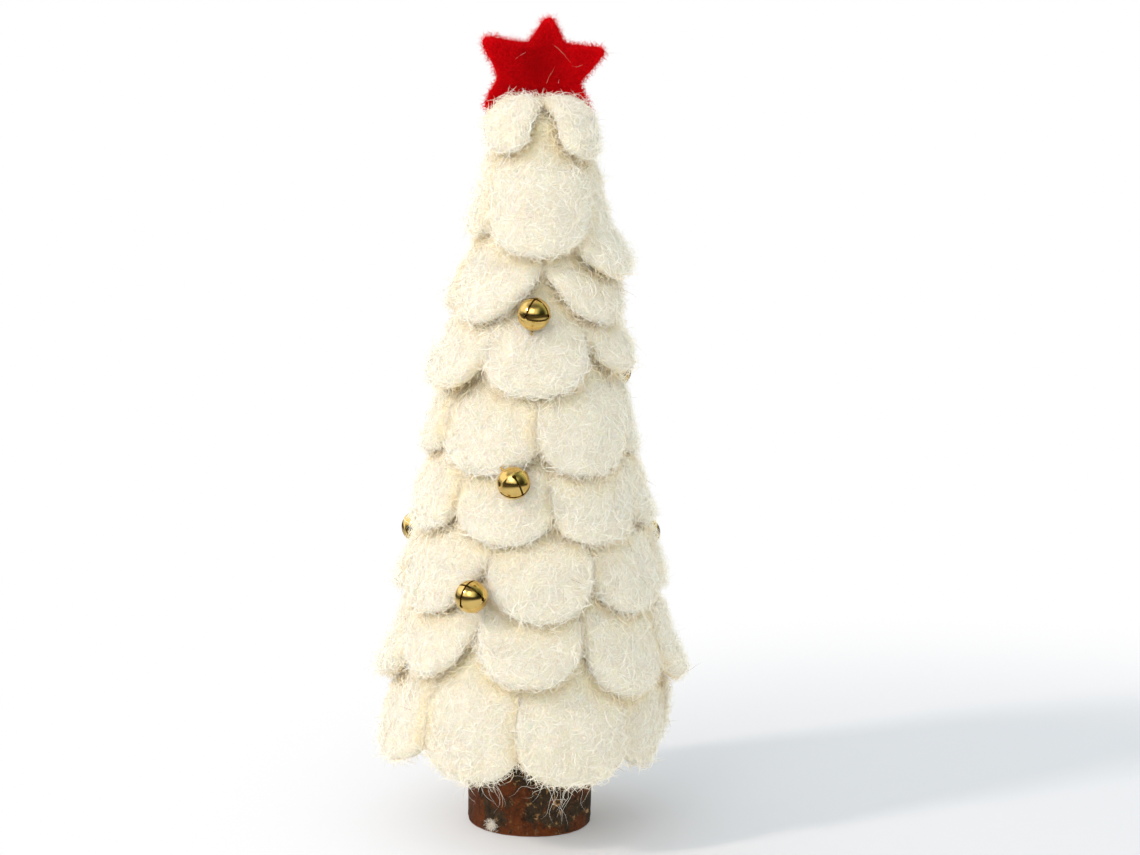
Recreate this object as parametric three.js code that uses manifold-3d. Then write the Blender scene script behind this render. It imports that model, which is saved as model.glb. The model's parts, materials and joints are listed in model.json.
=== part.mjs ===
// A table-top Christmas tree: a slice of branch carries a foam cone that is shingled with nine
// rows of thick wool-felt petals, hung with small slotted jingle bells and topped by a felt star.
// Millimetres, +Z up. The origin is the centre of the trunk's flat foot, and -Y is the front.
// An angle of 0 degrees faces the front, and angles grow towards +X.
import * as THREE from "three";
import { mergeVertices } from "three/addons/utils/BufferGeometryUtils.js";
import Module from "manifold-3d";

const wasm = await Module();
wasm.setup();

// Clearances
const clearance = 0.3; // between two pieces that touch
const overrun = 1; // how far a cutting tool runs past what it cuts

// Trunk: a sawn slice of branch, and the dowel that pegs it to the cone
const trunkRadius = 18.7;
const trunkHeight = 27.4;
const trunkEdge = 1.2; // worn edge at both sawn ends
const dowelRadius = 3;
const dowelSocketDepth = 14; // into the trunk
const dowelReach = 22; // into the cone

// Felt disc that closes the underside
const discInset = 9; // from the cone's lower edge
const discThickness = 2;

// Foam cone with a domed top
const coneBaseRadius = 38.5;
const coneShoulderRadius = 9.5;
const coneSideHeight = 186;
const domeHeight = 5.5;

// Felt petals
const feltThickness = 3.2; // where a petal hangs free
const tuckedThickness = 2.4; // where the row above presses it flat
const petalGap = 0.8; // between two petals of one row
const tuckLength = 4; // from the tips of one row down to the top edge of the row two below
const roundedEnd = 13; // length of a petal's rounded end, which a row's endShare scales
const endRiseShares = [1, 0.42, 0.1, 0]; // where the rounded end's outline has its points
const nearestStop = 1.1; // no two points of a petal's outline lie closer than this
const bluntShare = 0.2; // width of the very tip
const thinnedShare = 0.25; // what the tip loses of its thickness on each face
const flareLength = 16; // length over which a petal's end lifts away from the cone
const firstTop = 2.4; // where the top row starts, measured from the crown of the dome
const firstStep = 2.6; // the top row lies flat this far before it lifts over the second row
const seamDepth = 1.6; // the seam that strings the rear petals of a row together
const seamWidth = 5;
const seamThickness = 1.1;

// Star
const starRadius = 21.5;
const starThickness = 3.2;
const starCentreRise = 9.5; // above the crown of the petals
const pinRadius = 0.7;
const pinDepth = 16; // into the dome
const pinReach = 5; // into the star, above the crown of the petals

// Bells
const bellRadius = 5;
const bellWall = 0.45;
const bellSlotWidth = 0.6;
const bellSlotEnd = 0.9; // the slots stop this far in front of the bell's equator
const bellHoleRadius = 0.6; // round hole at each end of a slot
const loopRadius = 0.95; // to the middle of the loop's wire
const loopWire = 0.38;
const loopCentre = 5.65; // from the bell's centre
const ballRadius = 2;
const ballRest = 2.1; // the ball lies this far below the bell's centre
const threadRadius = 0.26;
const threadHalfWidth = 0.95; // half of the stitch's width across the loop
const threadBendShare = 0.35; // length of the stitch's bends, of that half width

// The rows, from the top down. Tips are shares of the cone's side, counted up from its base;
// flares are shares of the felt's thickness, and drops are shares of the cone's side by which
// single petals hang lower or higher than their row, listed by the petal's number.
const rows = [
  { count: 4, turn: -40, tipShare: 0.965, flareShare: 0.3, fullness: 2.0, endShare: 1, dropShares: { 1: 0.022 } },
  { count: 5, turn: -3, tipShare: 0.806, flareShare: 1.3, fullness: 2.0, endShare: 1, dropShares: { 1: 0.027, 4: -0.021 } },
  { count: 5, turn: -31, tipShare: 0.694, flareShare: 0.7, fullness: 1.6, endShare: 1.5, dropShares: {} },
  { count: 6, turn: 1.5, tipShare: 0.589, flareShare: 1.35, fullness: 2.2, endShare: 1, dropShares: { 2: -0.02, 4: -0.02 } },
  { count: 6, turn: -29, tipShare: 0.468, flareShare: 0.55, fullness: 2.1, endShare: 1, dropShares: {} },
  { count: 7, turn: -16, tipShare: 0.355, flareShare: 1.05, fullness: 2.1, endShare: 1, dropShares: {} },
  { count: 7, turn: 4, tipShare: 0.231, flareShare: 0.75, fullness: 2.1, endShare: 1, dropShares: {} },
  { count: 8, turn: 0, tipShare: 0.113, flareShare: 1.6, fullness: 2.2, endShare: 1,
    dropShares: { 0: -0.016, 1: 0.011, 2: 0.02, 3: 0.016, 4: 0.016, 5: 0.02, 6: 0.022 } },
  { count: 8, turn: 22.5, tipShare: -0.027, flareShare: 0.45, fullness: 2.3, endShare: 0.78, dropShares: {} },
];
const frontLimit = 62; // degrees: petals further round than this are strung together in one piece

// The star's outline as shares of its radius, from its upper point and clockwise seen from the front
const starShares = [
  [0.16, 0.73], [0.37, 0.26], [1.0, 0.24], [0.57, -0.27], [0.79, -0.73],
  [0.1, -0.44], [-0.79, -0.68], [-0.53, -0.18], [-0.83, 0.39], [-0.14, 0.27],
];
const starTipRound = 1.6; // radius of its blunt points

// The bells, by number: the angle round the tree, the height of the centre as a share of the
// cone's side, the row that the bell lies on, the row that its stitch goes into, and the way
// its slotted face looks: its tilt away from straight out, and the clock direction of that
// tilt (0 is up, and 90 is towards the right of the tree's outline as the bell faces you).
// The spin turns the slots about the face.
const bells = [
  { angle: -1.7, heightShare: 0.711, onRow: 4, sewnRow: 4, tilt: 66, clock: 6, spin: 19 },
  { angle: 133, heightShare: 0.567, onRow: 5, sewnRow: 5, tilt: 50, clock: 180, spin: 0 },
  { angle: -124, heightShare: 0.572, onRow: 5, sewnRow: 5, tilt: 50, clock: 180, spin: 0 },
  { angle: -9.5, heightShare: 0.447, onRow: 6, sewnRow: 6, tilt: 66, clock: 135, spin: 19 },
  { angle: -119, heightShare: 0.301, onRow: 7, sewnRow: 7, tilt: 50, clock: 200, spin: 0 },
  { angle: 124, heightShare: 0.292, onRow: 7, sewnRow: 7, tilt: 50, clock: 180, spin: 0 },
  { angle: -24.8, heightShare: 0.264, onRow: 7, sewnRow: 8, tilt: 44, clock: -3, spin: 28 },
  { angle: 181, heightShare: 0.45, onRow: 6, sewnRow: 6, tilt: 52, clock: 165, spin: 28 },
];

// Colours and finishes
const felt = new THREE.MeshStandardMaterial({ color: 0xf3ecdc, roughness: 0.95, metalness: 0 });
const redFelt = new THREE.MeshStandardMaterial({ color: 0xb80a12, roughness: 0.95, metalness: 0 });
const foam = new THREE.MeshStandardMaterial({ color: 0xf7f7f4, roughness: 0.8, metalness: 0 });
const bark = new THREE.MeshStandardMaterial({ color: 0x54301d, roughness: 0.85, metalness: 0 });
const wood = new THREE.MeshStandardMaterial({ color: 0xc79a62, roughness: 0.7, metalness: 0 });
const brass = new THREE.MeshStandardMaterial({ color: 0xcda349, roughness: 0.22, metalness: 1 });
const steel = new THREE.MeshStandardMaterial({ color: 0xa9a9ab, roughness: 0.35, metalness: 1 });
const thread = new THREE.MeshStandardMaterial({ color: 0xe9dfc8, roughness: 0.8, metalness: 0 });

// Heights that follow from the sizes above
const discBottom = trunkHeight + clearance;
const coneBase = discBottom + discThickness + clearance;
const coneShoulder = coneBase + coneSideHeight;
const coneTop = coneShoulder + domeHeight;
const crown = coneTop + clearance + feltThickness;
const coneTaper = (coneBaseRadius - coneShoulderRadius) / coneSideHeight;
const discRadius = coneBaseRadius - discInset;
const starCentre = crown + starCentreRise;

// A closed geometry as a solid for joining and cutting
function solidOf(geometry) {
  const bare = geometry.clone();
  bare.deleteAttribute("normal");
  bare.deleteAttribute("uv");
  const merged = mergeVertices(bare, 1e-4);
  return new wasm.Manifold(
    new wasm.Mesh({
      numProp: 3,
      vertProperties: merged.attributes.position.array,
      triVerts: new Uint32Array(merged.index.array),
    }),
  );
}

// A solid back as a geometry
function geometryOf(solid) {
  const mesh = solid.getMesh();
  const geometry = new THREE.BufferGeometry();
  geometry.setAttribute("position", new THREE.BufferAttribute(mesh.vertProperties, 3));
  geometry.setIndex(new THREE.BufferAttribute(mesh.triVerts, 1));
  geometry.computeVertexNormals();
  return geometry;
}

// An upright cylinder from one height to another
function upright(radius, bottom, top, sides = 16) {
  const geometry = new THREE.CylinderGeometry(radius, radius, top - bottom, sides);
  return geometry.rotateX(Math.PI / 2).translate(0, 0, (bottom + top) / 2);
}

// The geometry of one solid with others cut from it
function cutFrom(geometry, ...tools) {
  return geometryOf(tools.reduce((body, tool) => body.subtract(solidOf(tool)), solidOf(geometry)));
}

// A profile of [radius, height] points, closed, turned about the Z axis
function turned(profile, sides) {
  const points = profile.map(([radius, height]) => new THREE.Vector2(radius, height));
  return new THREE.LatheGeometry(points, sides).rotateX(Math.PI / 2);
}

const tree = new THREE.Group();

function place(name, geometry, material, parent = tree) {
  const mesh = new THREE.Mesh(geometry, material);
  mesh.name = name;
  parent.add(mesh);
  return mesh;
}

// Trunk: the slice of branch, with the dowel's socket in its upper end
const dowelBottom = trunkHeight - dowelSocketDepth;
const dowelTop = coneBase + dowelReach;
const dowelHole = upright(
  dowelRadius + clearance, dowelBottom - clearance, dowelTop + clearance,
);
const trunkProfile = [
  [0, 0],
  [trunkRadius - trunkEdge, 0],
  [trunkRadius, trunkEdge],
  [trunkRadius, trunkHeight - trunkEdge],
  [trunkRadius - trunkEdge, trunkHeight],
  [0, trunkHeight],
];
place("trunk_log", cutFrom(turned(trunkProfile, 28), dowelHole), bark);
place("trunk_dowel", upright(dowelRadius, dowelBottom, dowelTop), wood);

// Felt disc under the cone
place("base_disc", cutFrom(upright(discRadius, discBottom, discBottom + discThickness, 32), dowelHole), felt);

// Foam cone with its domed top, the dowel's hole and the star pin's hole
const domeSteps = 5;
const coneProfile = [[0, coneBase], [coneBaseRadius, coneBase]];
for (let i = 0; i <= domeSteps; i++) {
  const turn = ((i / domeSteps) * Math.PI) / 2;
  coneProfile.push([
    i === domeSteps ? 0 : coneShoulderRadius * Math.cos(turn),
    coneShoulder + domeHeight * Math.sin(turn),
  ]);
}
const pinBottom = coneTop - pinDepth;
const pinTop = crown + pinReach;
const pinHole = upright(pinRadius + clearance, pinBottom - clearance, pinTop + clearance, 8);
place("foam_core", cutFrom(turned(coneProfile, 36), dowelHole, pinHole), foam);

// The cone's side as a path that starts at the crown of the dome and runs down to the base and on.
// It gives the radius and height there, and the outward direction.
const domeSamples = 24;
const domePath = [{ along: 0, radius: 0, height: coneTop }];
for (let i = 1; i <= domeSamples; i++) {
  const turn = (Math.PI / 2) * (1 - i / domeSamples);
  const before = domePath[i - 1];
  const radius = coneShoulderRadius * Math.cos(turn);
  const height = coneShoulder + domeHeight * Math.sin(turn);
  const step = Math.hypot(radius - before.radius, height - before.height);
  domePath.push({ along: before.along + step, radius, height });
}
const domeLength = domePath[domeSamples].along;
const sideTilt = Math.atan(coneTaper);

function onSide(along) {
  if (along >= domeLength) {
    const down = (along - domeLength) * Math.cos(sideTilt);
    return {
      radius: coneShoulderRadius + down * coneTaper,
      height: coneShoulder - down,
      outward: [Math.cos(sideTilt), Math.sin(sideTilt)],
    };
  }
  const i = Math.max(1, domePath.findIndex((p) => p.along >= along));
  const [a, b] = [domePath[i - 1], domePath[i]];
  const share = (along - a.along) / (b.along - a.along);
  const radius = a.radius + share * (b.radius - a.radius);
  const height = a.height + share * (b.height - a.height);
  const slope = [radius / coneShoulderRadius ** 2, (height - coneShoulder) / domeHeight ** 2];
  const size = Math.hypot(...slope);
  return { radius, height, outward: [slope[0] / size, slope[1] / size] };
}

// The way down the side to a height
function alongAt(height) {
  return domeLength + (coneShoulder - height) / Math.cos(sideTilt);
}

// A slab of felt bent round the cone about the front. Each section says how far down the side it
// lies, its half angle and the offsets of its inner and outer face. The inner face's corners
// stand a little proud, so that its flats never cut into what lies below.
const faceShares = [-0.9, -0.3, 0.3, 0.9];
function slab(sections) {
  const positions = [];
  for (const { along, halfAngle, inner, outer } of sections) {
    const { radius, height, outward } = onSide(along);
    const proud = 1 / Math.cos(((faceShares[1] - faceShares[0]) * halfAngle) / 2);
    const put = (angle, offset, scale) => {
      const reach = (radius + offset * outward[0]) * scale;
      positions.push(reach * Math.sin(angle), -reach * Math.cos(angle), height + offset * outward[1]);
    };
    faceShares.forEach((share) => put(share * halfAngle, inner, proud));
    put(halfAngle, (inner + outer) / 2, 1);
    [...faceShares].reverse().forEach((share) => put(share * halfAngle, outer, 1));
    put(-halfAngle, (inner + outer) / 2, 1);
  }
  const ring = 2 * faceShares.length + 2;
  const last = (sections.length - 1) * ring;
  const index = [];
  for (let k = 0; k < sections.length - 1; k++) {
    for (let i = 0; i < ring; i++) {
      const [a, b] = [k * ring + i, k * ring + ((i + 1) % ring)];
      index.push(a, b, a + ring, b, b + ring, a + ring);
    }
  }
  // The two ends are strips between the inner and the outer face
  const strip = [[ring - 1, 0, ring - 2]];
  for (let i = 0; i < faceShares.length - 1; i++) {
    strip.push([i, i + 1, ring - 2 - i], [i + 1, ring - 3 - i, ring - 2 - i]);
  }
  strip.push([faceShares.length - 1, faceShares.length, faceShares.length + 1]);
  for (const [a, b, c] of strip) {
    index.push(a, c, b, last + a, last + b, last + c);
  }
  const geometry = new THREE.BufferGeometry();
  geometry.setAttribute("position", new THREE.Float32BufferAttribute(positions, 3));
  geometry.setIndex(index);
  geometry.computeVertexNormals();
  return geometry;
}

// Where each row's tips and top edge lie, down the side
function tipHeight(row, number = -1) {
  const drop = row.dropShares[number] ?? 0;
  return coneBase + (row.tipShare - drop) * coneSideHeight;
}
function lowestTip(row) {
  return Math.min(...Array.from({ length: row.count }, (_, i) => tipHeight(row, i)));
}
rows.forEach((row, k) => {
  if (k === 0) row.top = firstTop;
  else if (k === 1) row.top = domeLength + clearance;
  else row.top = alongAt(lowestTip(rows[k - 2]) - tuckLength);
});
rows.forEach((row, k) => {
  row.pitch = (2 * Math.PI) / row.count;
  row.liftStart = k === 0 ? row.top + firstStep : alongAt(lowestTip(rows[k - 1]) - clearance);
  row.liftEnd = k === rows.length - 1 ? Infinity : rows[k + 1].top - clearance;
});

// How far a value has come from one end of a stretch to the other, from 0 to 1
function progress(value, from, to) {
  return Math.min(1, Math.max(0, (value - from) / (to - from)));
}

// The inner and outer face of a row's felt, as offsets from the cone's side. A petal lies flat on
// the cone while the row above covers it, lifts over the top edge of the row below, and its
// rounded end flares away from the cone.
function feltFaces(row, along, tip) {
  const lift = (tuckedThickness + clearance) * progress(along, row.liftStart, row.liftEnd);
  const flared = progress(along, tip - flareLength, tip) ** 2;
  const inner = clearance + lift + row.flareShare * feltThickness * flared;
  const loosened = progress(along, row.liftStart, row.liftStart + tuckLength);
  return [inner, inner + tuckedThickness + (feltThickness - tuckedThickness) * loosened];
}

// One petal, facing the front
function petal(row, number) {
  const tip = alongAt(tipHeight(row, number));
  const rounded = row.endShare * roundedEnd;
  const ends = endRiseShares.map((share) => tip - share * rounded);
  const fixed = [row.top, row.liftStart, row.liftEnd].filter((stop) => stop < tip);
  const free = ends.filter((end) => fixed.every((stop) => Math.abs(end - stop) > nearestStop));
  const stops = [...fixed, ...free].sort((a, b) => a - b);
  return slab(stops.map((along) => {
    const rise = tip - along;
    const [inner, outer] = feltFaces(row, along, tip);
    const narrowing = Math.max(0, 1 - rise / rounded) ** row.fullness;
    const width = Math.max(bluntShare, (1 - narrowing) ** (1 / row.fullness));
    const { radius, outward } = onSide(along);
    const halfAngle = row.pitch / 2 - petalGap / (2 * (radius + inner * outward[0]));
    const thinned = rise === 0 ? thinnedShare * (outer - inner) : 0;
    return { along, halfAngle: halfAngle * width, inner: inner + thinned, outer: outer - thinned };
  }));
}

// The seam that joins a petal to the next one of its row, hidden under the row above
function seam(row) {
  const start = row.top + seamDepth;
  const end = Math.min(start + seamWidth, row.liftStart);
  const inner = clearance + (tuckedThickness - seamThickness) / 2;
  return slab([start, end].map((along) => (
    { along, halfAngle: row.pitch / 2, inner, outer: inner + seamThickness }
  )));
}

// The star's two lower points reach down between the petals of the top row, so these leave a
// slot for it, seen here from a petal that is turned by some degrees
const starFloor = starCentre + Math.min(...starShares.map(([, height]) => height)) * starRadius;
function starSlot(degrees) {
  const depth = crown + overrun - (starFloor - clearance);
  const slot = new THREE.BoxGeometry(2 * starRadius, starThickness + 2 * clearance, depth);
  slot.translate(0, 0, crown + overrun - depth / 2);
  return slot.rotateZ(THREE.MathUtils.degToRad(-degrees));
}

// The front petals are pieces of their own, and those at the back of a row are strung together
function turnOf(row, number) {
  const degrees = row.turn + (360 / row.count) * number;
  return ((degrees + 180) % 360 + 360) % 360 - 180;
}
rows.forEach((row, k) => {
  const rear = [];
  for (let i = 0; i < row.count; i++) {
    const turn = turnOf(row, i);
    if (Math.abs(turn) <= frontLimit) {
      const shape = k === 0 ? cutFrom(petal(row, i), starSlot(turn)) : petal(row, i);
      const mesh = place(`petal_row${k + 1}_${i + 1}`, shape, felt);
      mesh.rotation.z = THREE.MathUtils.degToRad(turn);
    } else {
      rear.push({ number: i, turn: (turn + 360) % 360 });
    }
  }
  rear.sort((a, b) => a.turn - b.turn);
  const placed = (geometry, degrees) => solidOf(geometry.rotateZ(THREE.MathUtils.degToRad(degrees)));
  let strung = placed(petal(row, rear[0].number), rear[0].turn);
  for (let i = 1; i < rear.length; i++) {
    const between = (rear[i - 1].turn + rear[i].turn) / 2;
    strung = strung.add(placed(petal(row, rear[i].number), rear[i].turn));
    strung = strung.add(placed(seam(row), between));
  }
  if (k === 0) strung = strung.subtract(solidOf(starSlot(0)));
  place(`petals_row${k + 1}_rear`, geometryOf(strung), felt);
});

// Star: a thick felt outline with blunt points, standing on a pin that runs down into the dome
function starOutline() {
  const corners = starShares.map(([x, y]) => new THREE.Vector2(x * starRadius, y * starRadius));
  const shape = new THREE.Shape();
  corners.forEach((corner, i) => {
    const before = corners[(i + corners.length - 1) % corners.length];
    const after = corners[(i + 1) % corners.length];
    const cut = i % 2 === 0 ? starTipRound : starTipRound / 2;
    const enter = corner.clone().add(before.clone().sub(corner).setLength(cut));
    const leave = corner.clone().add(after.clone().sub(corner).setLength(cut));
    if (i === 0) shape.moveTo(enter.x, enter.y);
    else shape.lineTo(enter.x, enter.y);
    shape.quadraticCurveTo(corner.x, corner.y, leave.x, leave.y);
  });
  shape.closePath();
  return shape;
}
const starBody = new THREE.ExtrudeGeometry(starOutline(), {
  depth: starThickness, bevelEnabled: false, curveSegments: 3,
});
starBody.translate(0, 0, -starThickness / 2).rotateX(Math.PI / 2);
starBody.translate(0, 0, starCentre);
place("star", cutFrom(starBody, pinHole), redFelt);
place("star_pin", upright(pinRadius, pinBottom, pinTop, 8), wood);

// A bell in its own frame: +Z looks out of the slotted face, and the loop is behind, with its
// hole along X. Two crossed slots end in round holes just in front of the equator.
const roundSteps = 12;
const poleSteps = 8;
function bellShell(spin) {
  const ball = (radius) => new THREE.SphereGeometry(radius, roundSteps, poleSteps).rotateX(Math.PI / 2);
  let body = solidOf(ball(bellRadius)).subtract(solidOf(ball(bellRadius - bellWall)));
  const reach = bellRadius + overrun;
  for (const turn of [spin + Math.PI / 4, spin - Math.PI / 4]) {
    const slot = new THREE.BoxGeometry(2 * reach, bellSlotWidth, reach - bellSlotEnd);
    slot.translate(0, 0, (reach + bellSlotEnd) / 2).rotateZ(turn);
    body = body.subtract(solidOf(slot));
    const hole = new THREE.CylinderGeometry(bellHoleRadius, bellHoleRadius, 2 * reach, 6);
    hole.rotateZ(Math.PI / 2).translate(0, 0, bellSlotEnd).rotateZ(turn);
    body = body.subtract(solidOf(hole));
  }
  const loop = new THREE.TorusGeometry(loopRadius, loopWire, 5, 10).rotateY(Math.PI / 2);
  loop.translate(0, 0, -loopCentre);
  const shellOnly = solidOf(ball(bellRadius - bellWall / 2));
  return geometryOf(body.add(solidOf(loop).subtract(shellOnly)));
}

// The stitch that holds a bell: a staple of thread through the loop's hole, with its two legs
// running straight in to the felt
function bellThread(legLength, inward) {
  const corners = [
    inward.clone().multiplyScalar(legLength).add(new THREE.Vector3(-threadHalfWidth, 0, 0)),
    new THREE.Vector3(-threadHalfWidth, 0, 0),
    new THREE.Vector3(threadHalfWidth, 0, 0),
    inward.clone().multiplyScalar(legLength).add(new THREE.Vector3(threadHalfWidth, 0, 0)),
  ];
  const section = (angle) => new THREE.Vector2(
    threadRadius * Math.cos(angle), threadRadius * Math.sin(angle),
  );
  const sides = 6;
  const shape = new THREE.Shape(
    Array.from({ length: sides }, (_, i) => section((2 * Math.PI * i) / sides)),
  );
  const bend = threadBendShare * threadHalfWidth;
  const path = new THREE.CurvePath();
  let from = corners[0];
  for (const i of [1, 2]) {
    const enter = corners[i].clone().add(corners[i - 1].clone().sub(corners[i]).setLength(bend));
    const leave = corners[i].clone().add(corners[i + 1].clone().sub(corners[i]).setLength(bend));
    path.add(new THREE.LineCurve3(from, enter));
    path.add(new THREE.QuadraticBezierCurve3(enter, corners[i], leave));
    from = leave;
  }
  path.add(new THREE.LineCurve3(from, corners[3]));
  return new THREE.ExtrudeGeometry(shape, { steps: 14, bevelEnabled: false, extrudePath: path });
}

// The offset from the cone's side at which a ball just clears a row's felt
const clearSamples = 24;
function clearOffset(row, along, radius) {
  const tip = alongAt(tipHeight(row));
  const reach = radius + clearance;
  const offsets = Array.from({ length: clearSamples + 1 }, (_, i) => {
    const shift = reach * ((2 * i) / clearSamples - 1);
    return feltFaces(row, along + shift, tip)[1] + Math.sqrt(Math.max(0, reach ** 2 - shift ** 2));
  });
  return Math.max(...offsets);
}

// Each bell hangs in a group of its own, with the group's origin at the bell's centre
const up = new THREE.Vector3(0, 0, 1);
const ballGeometry = new THREE.IcosahedronGeometry(ballRadius, 1);
bells.forEach((bell, i) => {
  const [angle, tilt, clock, spin] = [bell.angle, bell.tilt, bell.clock, bell.spin]
    .map(THREE.MathUtils.degToRad);
  const [carrier, anchor] = [rows[bell.onRow - 1], rows[bell.sewnRow - 1]];
  const height = coneBase + bell.heightShare * coneSideHeight;
  const along = alongAt(height);
  const loopAlong = along + loopCentre * Math.sin(tilt) * Math.cos(clock);
  const loopInset = loopCentre * Math.cos(tilt);
  const offset = Math.max(
    clearOffset(carrier, along, bellRadius),
    clearOffset(anchor, loopAlong, loopRadius + loopWire) + loopInset,
  );
  const out = new THREE.Vector3(
    Math.sin(angle) * Math.cos(sideTilt), -Math.cos(angle) * Math.cos(sideTilt), Math.sin(sideTilt),
  );
  const right = new THREE.Vector3().crossVectors(up, out).normalize();
  const upward = new THREE.Vector3().crossVectors(out, right);
  const { radius } = onSide(along);
  const centre = new THREE.Vector3(radius * Math.sin(angle), -radius * Math.cos(angle), height);
  centre.addScaledVector(out, offset);

  const toward = upward.multiplyScalar(Math.cos(clock)).addScaledVector(right, Math.sin(clock));
  const face = out.clone().multiplyScalar(Math.cos(tilt)).addScaledVector(toward, Math.sin(tilt));
  const hinge = new THREE.Vector3().crossVectors(toward, out);
  const group = new THREE.Group();
  group.position.copy(centre);
  tree.add(group);
  const turnedGroup = new THREE.Group();
  turnedGroup.quaternion.setFromRotationMatrix(
    new THREE.Matrix4().makeBasis(hinge, face.clone().cross(hinge), face),
  );
  group.add(turnedGroup);

  const name = `bell${i + 1}`;
  place(`${name}_shell`, bellShell(spin), brass, turnedGroup);
  place(`${name}_ball`, ballGeometry, steel, group).position.z = -ballRest;
  const spread = threadHalfWidth * Math.sin(clock);
  const anchorTip = alongAt(tipHeight(anchor));
  const felt = Math.max(...[-spread, spread].map(
    (shift) => feltFaces(anchor, loopAlong + shift, anchorTip)[1],
  ));
  const inward = out.negate().applyQuaternion(turnedGroup.quaternion.clone().invert());
  const legLength = offset - loopInset - felt - clearance;
  place(`${name}_thread`, bellThread(legLength, inward), thread, turnedGroup).position.z = -loopCentre;
});

export default tree;
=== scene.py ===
# %% [markdown]
# A felt christmas tree, 250 mm tall. A slice of branch carries a foam cone, and nine rows of thick
# wool-felt petals are laid on the cone like roof shingles. Small brass jingle bells hang between
# the petals, and a red felt star stands on top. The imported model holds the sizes, joints and
# places. This script gives each piece its finer shape and its look.

import json
import math

import bmesh
import bpy
import numpy as np
from mathutils import Matrix, Vector, noise
from mathutils.kdtree import KDTree


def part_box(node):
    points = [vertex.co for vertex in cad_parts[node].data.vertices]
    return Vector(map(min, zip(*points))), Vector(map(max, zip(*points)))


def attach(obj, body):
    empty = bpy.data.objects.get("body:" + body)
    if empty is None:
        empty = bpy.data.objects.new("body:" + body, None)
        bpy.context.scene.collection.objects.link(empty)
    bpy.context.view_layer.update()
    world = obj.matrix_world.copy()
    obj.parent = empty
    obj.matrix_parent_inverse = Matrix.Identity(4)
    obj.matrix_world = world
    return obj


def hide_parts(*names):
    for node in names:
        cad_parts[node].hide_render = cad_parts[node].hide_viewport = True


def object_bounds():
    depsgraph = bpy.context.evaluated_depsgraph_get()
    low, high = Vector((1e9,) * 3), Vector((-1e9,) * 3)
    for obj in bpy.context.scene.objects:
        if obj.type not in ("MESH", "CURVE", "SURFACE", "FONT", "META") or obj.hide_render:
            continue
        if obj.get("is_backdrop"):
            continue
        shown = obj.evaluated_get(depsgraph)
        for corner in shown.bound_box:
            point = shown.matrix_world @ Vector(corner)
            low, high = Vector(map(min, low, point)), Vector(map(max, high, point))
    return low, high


mm = 0.001
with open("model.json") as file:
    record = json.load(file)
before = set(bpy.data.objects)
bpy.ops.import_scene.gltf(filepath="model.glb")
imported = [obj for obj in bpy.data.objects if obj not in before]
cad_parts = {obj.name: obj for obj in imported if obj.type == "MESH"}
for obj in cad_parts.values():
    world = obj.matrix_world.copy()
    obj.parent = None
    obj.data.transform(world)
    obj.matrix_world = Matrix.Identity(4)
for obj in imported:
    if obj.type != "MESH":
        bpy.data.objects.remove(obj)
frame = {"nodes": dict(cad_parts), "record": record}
cad_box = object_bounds()


def in_mm(sizes):
    return [round(size / mm, 1) for size in sizes]


print("box of the packed model in mm:", [in_mm(corner) for corner in cad_box])

# %% [markdown]
# Blender keeps a shape and the object that shows it apart: a mesh, a lamp or a camera is data, and
# an object puts it into the scene. Bmesh is Blender's tool for building a mesh face by face. These
# helpers do the steps that nearly every piece below needs.


# %% Helpers for pieces
def put(name, data):
    """A new object in the scene that shows this data."""
    piece = bpy.data.objects.new(name, data)
    bpy.context.scene.collection.objects.link(piece)
    return piece


def mesh_from(shaped, name):
    """A mesh with what was built in a bmesh, which is then let go."""
    mesh = bpy.data.meshes.new(name)
    shaped.to_mesh(mesh)
    shaped.free()
    return mesh


def smoothed(mesh):
    mesh.polygons.foreach_set("use_smooth", [True] * len(mesh.polygons))


def triangles(pieces):
    return sum(len(face.vertices) - 2 for piece in pieces for face in piece.data.polygons)


def around(count):
    """Evenly spaced angles round a circle."""
    return np.linspace(0, 2 * math.pi, count, endpoint=False)


# %% [markdown]
# The camera stands 1.1 m in front of the tree and 11 cm above its star, and looks down at it
# through a long lens. The tree stands left of the middle of the frame, which is a small lens shift,
# and leans a little, which is a small roll.

# %% Camera
photo_width = 1140
focal_pixels = 3713
axis_pixel_x = 535.1
camera_distance = 1.1
camera_height = 0.3574
camera_pitch = math.radians(11.98)
camera_roll = math.radians(0.825)
sensor_width = 36

camera_data = bpy.data.cameras.new("camera")
camera_data.sensor_width = sensor_width
camera_data.lens = sensor_width * focal_pixels / photo_width
camera_data.shift_x = (photo_width / 2 - axis_pixel_x) / photo_width
camera = put("camera", camera_data)
aim = Matrix.Rotation(math.pi / 2 - camera_pitch, 4, "X") @ Matrix.Rotation(camera_roll, 4, "Z")
camera.matrix_world = Matrix.Translation((0, -camera_distance, camera_height)) @ aim
bpy.context.scene.camera = camera
print("lens in mm:", round(camera_data.lens, 1))

# %% [markdown]
# Finishes, fibres and hairs are node trees. Two small helpers keep them short. Value wraps a socket
# so that Python's own signs work on it, and Graph adds a node, sets it up and feeds its inputs in
# one call.


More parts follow.
